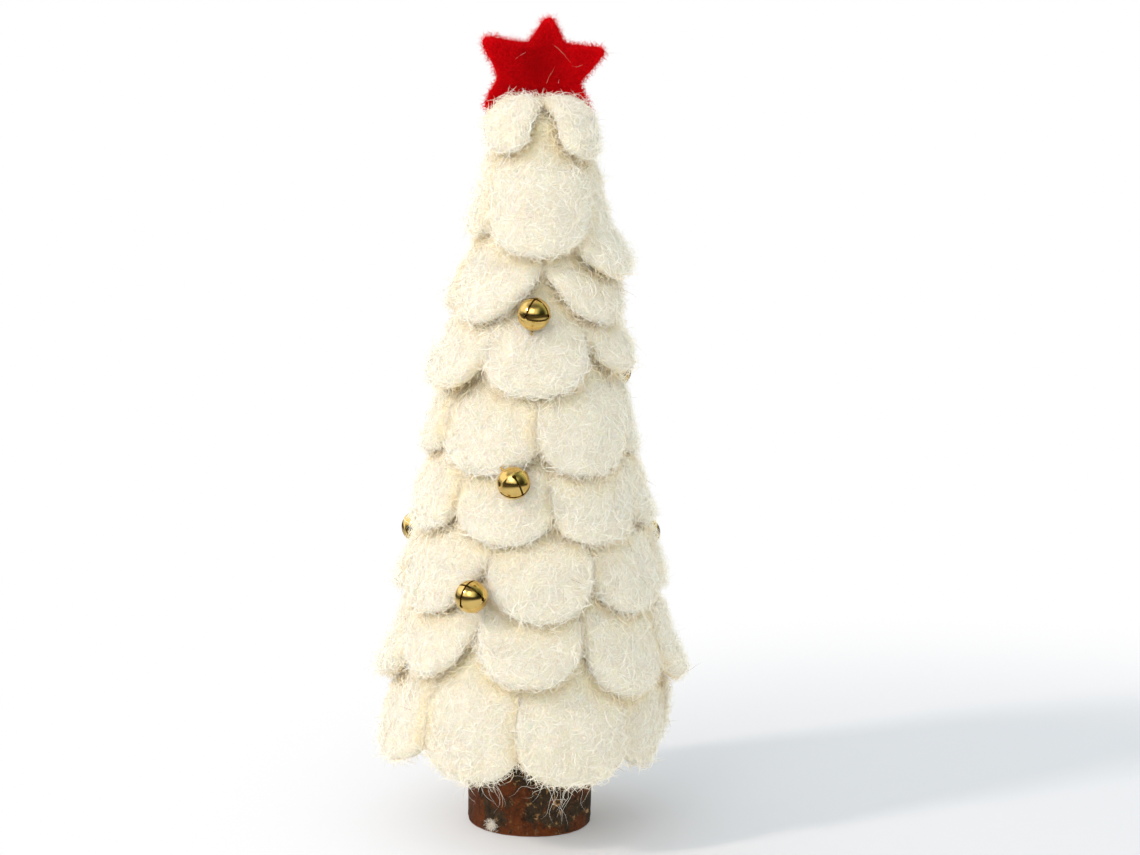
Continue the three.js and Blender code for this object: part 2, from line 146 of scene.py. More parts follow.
# %% Helpers for node trees
class Value:
    """A number in a node tree, on which +, -, *, / and ** add Math nodes."""

    def __init__(self, graph, socket):
        self.graph = graph
        self.socket = socket

    def __add__(self, other):
        return self.graph.maths("ADD", self, other)

    def __sub__(self, other):
        return self.graph.maths("SUBTRACT", self, other)

    def __rsub__(self, other):
        return self.graph.maths("SUBTRACT", other, self)

    def __mul__(self, other):
        return self.graph.maths("MULTIPLY", self, other)

    def __truediv__(self, other):
        return self.graph.maths("DIVIDE", self, other)

    def __pow__(self, other):
        return self.graph.maths("POWER", self, other)

    def between(self, low, high):
        """0 below low, 1 above high, and smooth in between."""
        settings = {"interpolation_type": "SMOOTHSTEP"}
        inputs = {"Value": self, "From Min": low, "From Max": high}
        return self.graph.number("ShaderNodeMapRange", settings, inputs)

    __radd__ = __add__
    __rmul__ = __mul__


class Graph:
    """A node tree that is filled by calls."""

    def __init__(self, tree):
        self.tree = tree

    def add(self, kind, settings=None, inputs=None):
        node = self.tree.nodes.new(kind)
        for name, value in (settings or {}).items():
            setattr(node, name, value)
        for name, value in (inputs or {}).items():
            self.feed(node.inputs[name], value)
        return node

    def feed(self, socket, value):
        if isinstance(value, Value):
            value = value.socket
        if isinstance(value, bpy.types.NodeSocket):
            self.tree.links.new(value, socket)
        else:
            socket.default_value = value

    def number(self, kind, settings=None, inputs=None, output=0):
        return Value(self, self.add(kind, settings, inputs).outputs[output])

    def maths(self, operation, *values):
        return self.number("ShaderNodeMath", {"operation": operation}, dict(enumerate(values)))

    def mixed(self, factor, low, high):
        """One colour where factor is 0 and another where it is 1. A Mix node has sockets for every
        kind of value, and these are the numbers of the ones for colours."""
        inputs = {0: factor, 6: low, 7: high}
        return self.add("ShaderNodeMix", {"data_type": "RGBA"}, inputs).outputs[2]


def colour(red, green, blue):
    return (red, green, blue, 1.0)


# %% [markdown]
# A material is a node tree too. Finish adds what the finishes below share: noise in blotches, cells,
# and bumps that catch the light but leave the shape as it is. A pattern follows the piece's own
# place in the tree, so it is as large on a small piece as on a big one.


# %% Helpers for materials
class Finish(Graph):
    """A material with one Principled shader. Constants go straight onto the shader's sockets."""

    def __init__(self, name, **constants):
        self.material = bpy.data.materials.new(name)
        self.material.use_nodes = True
        super().__init__(self.material.node_tree)
        self.shader = self.tree.nodes["Principled BSDF"]
        for socket, value in constants.items():
            self.shader.inputs[socket.replace("_", " ")].default_value = value
        self.place = self.add("ShaderNodeTexCoord").outputs["Object"]

    def stretched(self, scale, turn=(0, 0, 0)):
        """The piece's own coordinates, scaled apart along each axis after a turn."""
        inputs = {"Vector": self.place, "Scale": scale, "Rotation": turn}
        return self.add("ShaderNodeMapping", {"vector_type": "TEXTURE"}, inputs).outputs[0]

    def clouds(self, size, detail=3, rough=0.5, twist=0.0, vector=None):
        """Noise whose blotches are about this size, in metres."""
        inputs = {"Vector": vector or self.place, "Scale": 1 / size, "Detail": detail,
                  "Roughness": rough, "Distortion": twist}
        return self.number("ShaderNodeTexNoise", {"noise_type": "FBM"}, inputs)

    def cells(self, size, feature="F1"):
        inputs = {"Vector": self.place, "Scale": 1 / size}
        return self.number("ShaderNodeTexVoronoi", {"feature": feature}, inputs)

    def attribute(self, name):
        return self.number("ShaderNodeAttribute", {"attribute_name": name}, output="Fac")

    def ray(self, kind):
        """1 for light rays of this kind and 0 for all others."""
        return self.number("ShaderNodeLightPath", output=kind)

    def bumps(self, height, depth, under=None):
        inputs = {"Height": height, "Distance": depth, "Strength": 1.0}
        if under is not None:
            inputs["Normal"] = under
        return self.add("ShaderNodeBump", None, inputs).outputs[0]

    def wear(self, **links):
        for socket, value in links.items():
            self.feed(self.shader.inputs[socket.replace("_", " ")], value)
        return self.material


# %% [markdown]
# Plain studio light. The camera sees a white background. Polished brass shows the room it stands
# in, so mirrored rays see a room of their own: a bright window high on the left, a pale backdrop
# behind the tree and a yellow-green side on the right. All other rays get an even pale light.

# %% Light of the room
ambient_strength = 1.2
world = bpy.data.worlds.new("studio")
world.use_nodes = True
bpy.context.scene.world = world
sky = Graph(world.node_tree)
rays = sky.add("ShaderNodeLightPath")
seen = Value(sky, rays.outputs["Is Camera Ray"]) + Value(sky, rays.outputs["Is Transmission Ray"])
mirrored = Value(sky, rays.outputs["Is Glossy Ray"])
rest = (1 - seen) * (1 - mirrored)
direction = sky.add("ShaderNodeTexCoord").outputs["Generated"]
parts = sky.add("ShaderNodeSeparateXYZ", None, {"Vector": direction})
sideways, ahead, upward = (Value(sky, parts.outputs[i]) for i in range(3))
window = upward.between(0.1, 0.3) * (1 - upward.between(0.62, 0.85)) * (1 - sideways.between(0.1, 0.75))
backdrop = ahead.between(-0.3, 0.3)
lit = window * 1.3 + backdrop * 0.62 + upward.between(0.2, 0.9) * 0.2 + 0.04
room = sky.maths("MINIMUM", lit, 1.5)
to_the_right = mirrored * sideways.between(-0.1, 0.6)
tinted = sky.mixed(to_the_right, colour(1, 1, 1), colour(0.86, 1.0, 0.72))
background = world.node_tree.nodes["Background"]
sky.feed(background.inputs["Color"], sky.mixed(rest, tinted, colour(0.965, 1.0, 0.955)))
sky.feed(background.inputs["Strength"], seen + mirrored * room + rest * ambient_strength)

# %% [markdown]
# A small warm lamp high on the left throws the shadow to the right. A larger and weaker lamp stands
# in front, a little to the left, and lights the lower sides of the felt.

# %% Lamps
tree_middle = Vector((0, 0, 0.12))


def lamp(name, place, size, power, tint):
    """A round lamp that shines on the middle of the tree."""
    data = bpy.data.lights.new(name, "AREA")
    data.shape = "DISK"
    data.size = size
    data.energy = power
    data.color = tint
    obj = put(name, data)
    obj.location = place
    obj.rotation_euler = (tree_middle - Vector(place)).to_track_quat("-Z", "Y").to_euler()


lamp("key_lamp", (-1.2, -0.64, 1.05), 0.2, 13.0, (1.0, 0.85, 0.72))
lamp("front_lamp", (-0.5, -1.6, 1.2), 1.0, 6.0, (1.0, 0.97, 0.93))

# %% [markdown]
# The floor is a large sheet of white paper. Its shadow looks a cool grey, while the light that it
# throws back up under the felt is warm and brighter. The brass mirrors it dark further away. To the
# camera it fades to plain white a short way from the tree, which a Mix Shader does.

# %% Floor
floor_reach = 8.0
shadow_side = (0.15, 0.0, 0.0)
corners = [(-floor_reach, -floor_reach, 0), (floor_reach, -floor_reach, 0),
           (floor_reach, floor_reach, 0), (-floor_reach, floor_reach, 0)]
floor_mesh = bpy.data.meshes.new("floor")
floor_mesh.from_pydata(corners, [], [(0, 1, 2, 3)])
floor = put("floor", floor_mesh)

floor_finish = Finish("floor_paper", Roughness=0.9, Specular_IOR_Level=0.1)
away = floor_finish.number("ShaderNodeVectorMath", {"operation": "DISTANCE"},
                           {0: floor_finish.place, 1: shadow_side}, "Value")
fade = away.between(0.1, 0.26)
dim_room = floor_finish.ray("Is Glossy Ray") * away.between(0.25, 0.6)
thrown_back = floor_finish.ray("Is Diffuse Ray")
paper_tone = floor_finish.mixed(thrown_back, colour(0.6, 0.61, 0.665), colour(0.93, 0.905, 0.86))
floor_finish.wear(Base_Color=floor_finish.mixed(dim_room, paper_tone, colour(0.05, 0.04, 0.03)))
white = floor_finish.add("ShaderNodeEmission", None, {"Color": colour(1, 1, 1), "Strength": 1.0})
shown = floor_finish.add("ShaderNodeMixShader", None, {
    0: fade * floor_finish.ray("Is Camera Ray"), 1: floor_finish.shader.outputs[0], 2: white.outputs[0]})
floor_output = floor_finish.tree.nodes["Material Output"]
floor_finish.feed(floor_output.inputs["Surface"], shown.outputs[0])
floor_mesh.materials.append(floor_finish.material)
floor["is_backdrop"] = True

view = bpy.context.scene.view_settings
view.view_transform = "Standard"
print("the floor's finish:", floor_finish.material.name)

# %% [markdown]
# Wool felt is a mat of fine curly fibres. Close to, it shows pale threads over a slightly warmer
# ground. Deep between two petals a warm tan is painted into its colour as shade, since light reaches
# it there only through wool. Ridged noise, bent by its own distortion, gives the threads. The
# painted shade follows an attribute that each petal carries, which says how deep in a crease each
# point lies.


# %% Felt and its fibres
def fibre_lines(finish, size, sharpness, twist):
    """Thin curly lines, 1 on a line and 0 between lines: where a noise passes its middle value."""
    off = finish.maths("ABSOLUTE", finish.clouds(size, 2, 0.5, twist) - 0.5)
    return finish.maths("MAXIMUM", 1 - off * sharpness, 0.0)


def wool(name, pale, warm, shade_tone, thread_depth, sheen, shine):
    """A felt that is pale on its threads and warm between them, with a painted shade tone mixed in
    where it lies deep in a crease.
    """
    finish = Finish(name, Roughness=0.95, Specular_IOR_Level=shine, Sheen_Weight=sheen,
                    Sheen_Roughness=0.5, Subsurface_Weight=0.6, Subsurface_Radius=(1.0, 0.75, 0.45),
                    Subsurface_Scale=0.004)
    short = fibre_lines(finish, 0.9 * mm, 12, 1.2)
    longer = fibre_lines(finish, 1.8 * mm, 20, 1.8)
    sparse = fibre_lines(finish, 3.4 * mm, 34, 0.8)
    blotches = finish.clouds(5 * mm, 3, 0.65)
    threads = short * 0.4 + longer * 0.45 + sparse * 0.4
    ground = finish.mixed(threads * 0.7 + blotches * 0.85 - 0.12, warm, pale)
    # Painted shade: an attribute on each piece mixes the shade tone into the felt's colour, deep in creases.
    painted_shade = finish.attribute("painted_shade") * (0.7 + finish.clouds(1.8 * mm) * 0.6)
    shade = finish.mixed(finish.maths("MINIMUM", painted_shade, 1.0), ground, shade_tone)
    mat = finish.bumps(threads, thread_depth)
    return finish.wear(Base_Color=shade, Normal=finish.bumps(blotches, 0.6 * mm, mat))


# The last colour of each felt is its painted shade tone: warm tan in the cream felt's creases, darker red
# towards the star's middle.
cream_felt = wool("cream_felt", colour(0.975, 0.935, 0.85), colour(0.84, 0.77, 0.645),
                  colour(1.0, 0.83, 0.54), 0.7 * mm, 0.2, 0.12)
red_felt = wool("red_felt", colour(0.68, 0.001, 0.004), colour(0.4, 0.001, 0.003),
                colour(0.3, 0.002, 0.003), 0.4 * mm, 0.0, 0.02)


def fibre(name, pale, warm, shade_tone, sheen, shine):
    """The loose fibres of a felt. Each has one tone, picked by its own attribute, and takes the
    painted shade tone in creases.
    """
    finish = Finish(name, Roughness=0.9, Specular_IOR_Level=shine, Sheen_Weight=sheen,
                    Sheen_Roughness=0.5, Subsurface_Weight=0.2, Subsurface_Radius=(1.0, 0.75, 0.5),
                    Subsurface_Scale=0.0008)
    tone = finish.mixed(finish.attribute("tint").between(0.45, 1.0), pale, warm)
    # Painted shade: fibres in a crease take the shade tone, as the felt under them does.
    in_painted_shade = finish.attribute("painted_shade").between(0.05, 1.0)
    return finish.wear(Base_Color=finish.mixed(in_painted_shade, tone, shade_tone))


# The third colour of each is the painted shade tone for creases.
cream_fibre = fibre("cream_fibre", colour(0.999, 0.984, 0.928), colour(0.89, 0.82, 0.69),
                    colour(1.0, 0.85, 0.6), 0.2, 0.15)
red_fibre = fibre("red_fibre", colour(0.74, 0.002, 0.005), colour(0.42, 0.001, 0.003),
                  colour(0.36, 0.001, 0.002), 0.0, 0.03)


def stray(name, common, some, few):
    """Long stray hairs, each of one of three tones, picked by its own attribute."""
    finish = Finish(name, Roughness=0.6, Specular_IOR_Level=0.3)
    pick = finish.attribute("tint")
    shade = finish.mixed(pick.between(0.35, 0.75), common, some)
    return finish.wear(Base_Color=finish.mixed(pick.between(0.8, 0.95), shade, few))


stray_hair = stray("stray_hair", colour(0.95, 0.92, 0.85), colour(0.74, 0.58, 0.44),
                   colour(0.36, 0.19, 0.15))
white_hair = stray("white_hair", colour(0.93, 0.91, 0.87), colour(0.9, 0.87, 0.82),
                   colour(0.8, 0.72, 0.62))

# %% [markdown]
# The stitches are plied thread, so diagonal bands serve as its twist. The foam of the cone is made
# of beads that were pressed together, so it has the cells of a Voronoi texture, and thin seams. Its
# warm tan is painted shade: it shows only in the gaps between petals, where it stands in for the
# shade there.


# %% Thread and foam
def twisted_thread():
    finish = Finish("thread", Roughness=0.7, Specular_IOR_Level=0.2)
    ply_width = 1.2 * mm
    plies = finish.number("ShaderNodeTexWave", {"bands_direction": "DIAGONAL"},
                          {"Vector": finish.place, "Scale": 1 / ply_width}, "Fac")
    shade = finish.mixed(plies, colour(0.7, 0.58, 0.4), colour(0.88, 0.8, 0.66))
    return finish.wear(Base_Color=shade, Normal=finish.bumps(plies, 0.08 * mm))


def foam_toned_as_shade():
    finish = Finish("foam", Roughness=0.7, Specular_IOR_Level=0.4)
    bead_size = 3.2 * mm
    beads = finish.cells(bead_size)
    seams = finish.cells(bead_size, "DISTANCE_TO_EDGE").between(0.0, 0.12)
    # Painted shade: the foam's warm tan stands in for the shaded gaps between petals where it shows.
    shade = finish.mixed(seams, colour(0.86, 0.7, 0.46), colour(0.96, 0.85, 0.64))
    return finish.wear(Base_Color=shade, Normal=finish.bumps(seams - beads * 0.4, 0.3 * mm))


thread_finish = twisted_thread()
foam_finish = foam_toned_as_shade()
print("finishes so far:", [m.name for m in bpy.data.materials])

# %% [markdown]
# The bells are stamped from thin brass sheet and polished, so they mirror the room. Only faint
# tarnish and hair scratches break the mirror. The balls inside are plain steel shot. The dowel and
# the pin are turned wood, with a grain that is stretched along them.


# %% Brass, steel and plain wood
def polished_brass():
    finish = Finish("brass", Metallic=1.0)
    tarnish = finish.clouds(2.5 * mm, 4, 0.6)
    scratches = finish.clouds(0.4 * mm, 2, 0.5, vector=finish.stretched((9, 1, 1), (0.4, 0.9, 0.2)))
    shade = finish.mixed(tarnish.between(0.4, 0.75), colour(0.7, 0.49, 0.16), colour(0.56, 0.36, 0.09))
    return finish.wear(Base_Color=shade, Roughness=0.07 + tarnish * 0.12,
                       Normal=finish.bumps(scratches, 0.006 * mm))


def steel_shot():
    finish = Finish("steel", Metallic=1.0)
    stain = finish.clouds(1.2 * mm, 4, 0.6)
    shade = finish.mixed(stain, colour(0.42, 0.42, 0.43), colour(0.6, 0.6, 0.6))
    return finish.wear(Base_Color=shade, Roughness=0.25 + stain * 0.2)


def turned_wood():
    finish = Finish("turned_wood", Roughness=0.6, Specular_IOR_Level=0.3)
    grain = finish.clouds(1.0 * mm, 4, 0.6, vector=finish.stretched((1, 1, 12)))
    shade = finish.mixed(grain, colour(0.62, 0.4, 0.2), colour(0.4, 0.22, 0.09))
    return finish.wear(Base_Color=shade, Normal=finish.bumps(grain, 0.08 * mm))


brass_finish = polished_brass()
steel_finish = steel_shot()
wood_finish = turned_wood()

# %% [markdown]
# The trunk is young branch with its bark on: smooth red-brown bark under patches of near-black
# crust, with small tan flecks, and a paler rim where the saw has torn the bark. The sawn ends show
# rings. One material serves both, and an attribute says which face is sawn.


# %% Bark and sawn wood
def bark_shade(finish, grain, edge):
    """The bark's colour, with masks of its crust and its flecks."""
    tone = finish.clouds(3.2 * mm, 4, 0.7, 0.6)
    rust = finish.mixed(grain * 1.4 + tone * 1.1 - 0.75, colour(0.016, 0.005, 0.002),
                        colour(0.17, 0.042, 0.009))
    crust = (finish.clouds(13 * mm, 3, 0.6, 0.9) * 0.85 + edge * 0.4).between(0.57, 0.66)
    crust_tone = finish.mixed(grain * 1.5 + tone * 1.2 - 0.85, colour(0.006, 0.004, 0.003),
                              colour(0.068, 0.045, 0.027))
    barked = finish.mixed(crust, rust, crust_tone)
    spots = finish.clouds(2.6 * mm, 4, 0.7, 0.4, vector=finish.stretched((1, 1, 1.2)))
    flecks = spots.between(0.56, 0.66) * (0.2 + crust * 0.8)
    flecked = finish.mixed(flecks * 0.9, barked, colour(0.36, 0.2, 0.085))
    rim = finish.attribute("rim") * (0.5 + edge * 0.8)
    return finish.mixed(rim.between(0.25, 0.9), flecked, colour(0.2, 0.06, 0.018)), crust, flecks


def growth_rings(finish, gap):
    """Waves round the tree's middle line, a little out of round."""
    flat = finish.stretched((1, 1, 1000))
    away = finish.number("ShaderNodeVectorMath", {"operation": "LENGTH"}, {0: flat}, "Value")
    wobble = finish.clouds(8 * mm) * 1.6 * mm
    return finish.maths("SINE", (away + wobble) * (2 * math.pi / gap))


def branch_wood():
    finish = Finish("branch_wood", Specular_IOR_Level=0.12)
    grain = finish.clouds(0.9 * mm, 5, 0.75, 0.3, vector=finish.stretched((1, 1, 1.3)))
    edge = finish.clouds(1.3 * mm, 5, 0.75)
    bark, crust, flecks = bark_shade(finish, grain, edge)
    rings = growth_rings(finish, 1.7 * mm)
    sawn = finish.mixed(rings.between(-0.6, 1.0), colour(0.5, 0.33, 0.17), colour(0.33, 0.19, 0.09))
    on_end = finish.attribute("sawn")
    height = (grain + crust * 0.5 + flecks * 0.3) * (1 - on_end) + rings * on_end * 0.15
    return finish.wear(Base_Color=finish.mixed(on_end, bark, sawn), Roughness=0.62 + crust * 0.25,
                       Normal=finish.bumps(height, 0.35 * mm))


branch_finish = branch_wood()

# %% [markdown]
# All petals lie on one surface: the cone with its domed top. side() gives that surface as a way
# down from the crown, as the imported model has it, so that a petal's flat outline can be laid on it.

# %% The cone's side
core_low, core_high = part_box("foam_core")
base_radius = (core_high[0] - core_low[0]) / 2
base_height = core_low[2]
shoulder_radius = 9.5 * mm
dome_height = 5.5 * mm
shoulder_height = core_high[2] - dome_height
side_height = shoulder_height - base_height
side_taper = (base_radius - shoulder_radius) / side_height
side_tilt = math.atan(side_taper)

dome_turns = np.linspace(math.pi / 2, 0, 200)
dome_radii = shoulder_radius * np.cos(dome_turns)
dome_rises = dome_height * np.sin(dome_turns)
dome_ways = np.concatenate([[0], np.cumsum(np.hypot(np.diff(dome_radii), np.diff(dome_rises)))])
dome_length = dome_ways[-1]


def side(way):
    """Radius, height and outward direction on the cone, at a way down from its crown. The direction
    never dips below the cone's own, so that felt lies smoothly over the shoulder."""
    way = np.asarray(way, float)
    on_dome = way < dome_length
    down = np.maximum(way - dome_length, 0) * math.cos(side_tilt)
    radius = np.where(on_dome, np.interp(way, dome_ways, dome_radii), shoulder_radius + down * side_taper)
    rise = np.interp(way, dome_ways, dome_rises)
    height = np.where(on_dome, shoulder_height + rise, shoulder_height - down)
    out_r = np.where(on_dome, radius / shoulder_radius**2, math.cos(side_tilt))
    out_z = np.where(on_dome, rise / dome_height**2, math.sin(side_tilt))
    size = np.hypot(out_r, out_z)
    steep = out_z / size < math.sin(side_tilt)
    out_r = np.where(steep, math.cos(side_tilt), out_r / size)
    out_z = np.where(steep, math.sin(side_tilt), out_z / size)
    return radius, height, out_r, out_z


def way_at(height):
    return dome_length + (shoulder_height - height) / math.cos(side_tilt)


print("cone side in mm:", round(side_height / mm, 1), "way over the dome:", round(dome_length / mm, 1))

# %% [markdown]
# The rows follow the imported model. The hidden half of a petal is pressed thin towards its top edge.
# Its free half lies on the row below like a shingle, and its rounded end stands off and is plump.
# For each row the list says how many petals it has, how many degrees the first is turned from the
# front, and how high the tips hang, as a share of the cone's side. flare is how far the tips swell
# and stand off, as a share of the felt's thickness. full is how square the rounded end is, round is
# its length as a share of rounded_end, and drops are the petals that hang lower than the rest, or
# higher where the number is negative. Petals within front_limit degrees of the front are nodes of
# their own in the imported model, and the others of a row are one node.

# %% The rows
clearance = 0.3 * mm
felt_thickness = 3.2 * mm
pressed_thickness = 2.8 * mm
top_thickness = 0.8 * mm
lies_off = 1.8 * felt_thickness / 2
overlap = 2.4 * mm
tuck_length = 4 * mm
rounded_end = 15 * mm
flare_length = 17 * mm
plump_share = 0.7
first_top = 2.0 * mm
first_press = 5 * mm
second_top = 6.5 * mm

rows = [
    {"count": 4, "turn": -40, "tip": 0.965, "flare": 0.3, "full": 2.1, "round": 0.7, "drops": {2: 0.022}},
    {"count": 5, "turn": -3, "tip": 0.806, "flare": 0.9, "full": 2.0, "round": 1.05,
     "drops": {2: 0.027, 5: -0.021}},
    {"count": 5, "turn": -31, "tip": 0.694, "flare": 0.5, "full": 1.8, "round": 1.15, "drops": {}},
    {"count": 6, "turn": 1.5, "tip": 0.589, "flare": 0.9, "full": 2.2, "round": 0.95,
     "drops": {3: -0.02, 5: -0.02}},
    {"count": 6, "turn": -29, "tip": 0.468, "flare": 0.4, "full": 2.1, "round": 1.0, "drops": {}},
    {"count": 7, "turn": -16, "tip": 0.355, "flare": 0.7, "full": 2.1, "round": 0.88, "drops": {}},
    {"count": 7, "turn": 4, "tip": 0.231, "flare": 0.5, "full": 2.1, "round": 1.15, "drops": {}},
    {"count": 8, "turn": 0, "tip": 0.113, "flare": 1.0, "full": 2.2, "round": 1.2,
     "drops": {1: -0.016, 2: 0.011, 3: 0.02, 4: 0.016, 5: 0.016, 6: 0.02, 7: 0.022}},
    {"count": 8, "turn": 22.5, "tip": -0.027, "flare": 0.25, "full": 2.2, "round": 1.0, "drops": {}},
]
top_fullness = 6
front_limit = 62


def tip_way(row, number):
    share = row["tip"] - row["drops"].get(number, 0)
    return way_at(base_height + share * side_height)


for k, row in enumerate(rows):
    row["number"] = k + 1
    row["pitch"] = 2 * math.pi / row["count"]
    row["lowest"] = max(tip_way(row, n + 1) for n in range(row["count"]))
for k, row in enumerate(rows):
    if k == 0:
        row["top"] = first_top
    elif k == 1:
        row["top"] = second_top
    else:
        row["top"] = rows[k - 2]["lowest"] + tuck_length / math.cos(side_tilt)
for k, row in enumerate(rows):
    row["below"] = rows[k + 1] if k + 1 < len(rows) else None
    row["covered"] = rows[k - 1]["lowest"] if k else row["top"] + first_press
    row["rises"] = rows[k - 1]["lowest"] if k else row["top"]
print("row tops in mm down the side:", in_mm(row["top"] for row in rows))

# %% [markdown]
# One petal is a flat outline first: a tongue with a square hidden top and a rounded free end. Its
# closed mesh is made of rings that follow the outline. A few rings turn round the felt's soft edge
# and the rest run in to the middle, on the outer and on the inner face. Then every point is laid on
# the cone and moved a little by noise, because felt is lumpy.


# %% One petal
def progress(value, start, end):
    """0 before the start, 1 after the end and a straight line in between."""
    return np.clip((value - start) / (end - start), 0, 1)


def eased(value, start, end):
    """The same as progress, with a soft start and a soft end."""
    share = progress(value, start, end)
    return share * share * (3 - 2 * share)


def pressed(row, way):
    """How thick a row's felt is where the row above lies on it. It is thinnest at its top edge."""
    return top_thickness + (pressed_thickness - top_thickness) * progress(way, row["top"], row["covered"])


def felt_middle(row, way, tip):
    """How far the middle of a petal's felt lies off the cone, and how thick the felt is there."""
    below = row["below"]
    under = (pressed(below, way) + clearance) * eased(way, row["rises"], below["top"]) if below else 0.0
    flared = row["flare"] * felt_thickness * progress(way, tip - flare_length, tip) ** 2
    swelled = progress(way, row["covered"], row["covered"] + tuck_length)
    inner = clearance + under + flared * (1 - plump_share)
    thickness = pressed(row, way) + (felt_thickness - pressed_thickness) * swelled + flared * plump_share
    return inner + thickness / 2, thickness


def half_width(row, way):
    """Half a petal's width, and the distance from the tree's axis to the felt's middle there."""
    radius, _, out_r, _ = side(way)
    reach = radius + lies_off * out_r
    return reach * row["pitch"] / 2 + overlap / 2, reach


def on_cone(way, angle, offset=0.0):
    """The place at a way down the cone and an angle round it, off its side by an offset."""
    radius, rise, out_r, out_z = side(way)
    reach = radius + offset * out_r
    return np.column_stack([reach * np.sin(angle), -reach * np.cos(angle), rise + offset * out_z])


def even_outline(points, count):
    """The same closed outline with its points evenly spaced."""
    closed = np.vstack([points, points[:1]])
    steps = np.hypot(*np.diff(closed, axis=0).T)
    ways = np.concatenate([[0], np.cumsum(steps)])
    at = np.linspace(0, ways[-1], count, endpoint=False)
    return np.column_stack([np.interp(at, ways, closed[:, 0]), np.interp(at, ways, closed[:, 1])])


def petal_outline(row, tip, reach_up, count=96):
    """A petal's flat outline: rounded at its free end, and nearly square at its hidden top."""
    end = row["round"] * rounded_end
    start = tip - end
    turns = around(600)
    c, s = np.cos(turns), np.sin(turns)
    power = np.where(s >= 0, 2 / row["full"], 2 / top_fullness)
    across = np.sign(c) * np.abs(c) ** power
    reach_down = np.where(s >= 0, end, -(start - row["top"] + reach_up))
    way = start + reach_down * np.abs(s) ** power
    width, _ = half_width(row, way)
    return even_outline(np.column_stack([across * width, way]), count), start


def inward(outline):
    """The inward direction at each point of an outline that runs anticlockwise about its middle."""
    run = np.roll(outline, -1, axis=0) - np.roll(outline, 1, axis=0)
    normal = np.column_stack([-run[:, 1], run[:, 0]])
    normal /= np.hypot(*normal.T)[:, None]
    after = np.roll(outline, -1, axis=0)
    return normal * np.sign(np.sum(outline[:, 0] * after[:, 1] - after[:, 0] * outline[:, 1]))


def towards(outline, centre, distance):
    """The step from each point of an outline to one that lies a distance further in. It always
    points to the middle and stops well short of it, so that no ring folds over."""
    to_middle = centre - outline
    reach = np.hypot(*to_middle.T)
    to_middle /= reach[:, None]
    squareness = np.sum(to_middle * inward(outline), axis=1)
    return to_middle * np.minimum(distance / np.maximum(squareness, 0.6), reach * 0.7)[:, None]


def half_pillow(outline, centre, rounding, rim_steps, face_steps):
    """Rings from the middle of one face to the outline, with each ring's height."""
    step = towards(outline, centre, rounding)
    rings = []
    for j in range(1, face_steps):
        rings.append((centre + (outline + step - centre) * (j / face_steps) ** 0.8, 1.0))
    for j in range(rim_steps + 1):
        turn = math.pi / 2 * j / rim_steps
        rings.append((outline + step * (1 - math.sin(turn) ** 0.9), math.cos(turn) ** 0.9))
    return rings


def pillow(outline, centre, rounding, inner_rounding):
    """Rings over a soft-edged piece, from the middle of its outer face to the middle of its inner
    face. Gives each point's place in the flat and its height, from -1 to 1 of half the thickness."""
    front = half_pillow(outline, centre, rounding, 7, 7)
    back = half_pillow(outline, centre, inner_rounding, 3, 4)[:-1]
    rings = front + [(ring, -height) for ring, height in reversed(back)]
    flat = [np.array([centre])] + [ring for ring, _ in rings] + [np.array([centre])]
    heights = [[1.0]] + [[height] * len(outline) for _, height in rings] + [[-1.0]]
    return np.vstack(flat), np.concatenate(heights), len(rings)


def ring_faces(ring_count, points):
    """The faces between rings of points, closed by a single point at both ends."""
    faces = []
    for i in range(points):
        j = (i + 1) % points
        faces.append((0, 1 + i, 1 + j))
        for k in range(ring_count - 1):
            a, b = 1 + k * points, 1 + (k + 1) * points
            faces.append((a + i, b + i, b + j, a + j))
        last = 1 + (ring_count - 1) * points
        faces.append((last + i, last + points, last + j))
    return faces


def lumps(points, size, seed):
    """Smooth noise at each point, about -1 to 1, with lumps of this size."""
    shift = Vector((seed * 13.7, seed * 5.3, seed * 9.1))
    return np.array([noise.noise(Vector(p) / size + shift) for p in points])


def new_piece(name, vertices, faces, material, attributes):
    """A smooth closed piece with numbers stored on its points, which materials and fibres read."""
    mesh = bpy.data.meshes.new(name)
    mesh.from_pydata([tuple(v) for v in vertices], [], faces)
    for key, values in attributes.items():
        layer = mesh.attributes.new(key, "FLOAT", "POINT")
        layer.data.foreach_set("value", np.asarray(values, dtype=np.float32))
    shaped = bmesh.new()
    shaped.from_mesh(mesh)
    bmesh.ops.recalc_face_normals(shaped, faces=shaped.faces)
    shaped.to_mesh(mesh)
    shaped.free()
    smoothed(mesh)
    mesh.materials.append(material)
    return put(name, mesh)


# %% [markdown]
# The star's own sizes come here, because the top row's petals lean against it. Its ten corners are
# listed as shares of the circle through its points, because it was cut by hand and isn't regular.

# %% Star sizes
star_radius = 21.5 * mm
star_shares = [(0.16, 0.73), (0.37, 0.26), (1.0, 0.24), (0.57, -0.27), (0.79, -0.73),
               (0.1, -0.44), (-0.79, -0.68), (-0.53, -0.18), (-0.83, 0.39), (-0.14, 0.27)]
star_low, star_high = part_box("star")
star_thickness = star_high[1] - star_low[1]
star_centre_height = (star_low[2] + star_high[2]) / 2
star_clearance = star_thickness / 2 + 0.2 * mm
star_floor = star_low[2] - 1 * mm
star_shift = 0.8 * mm
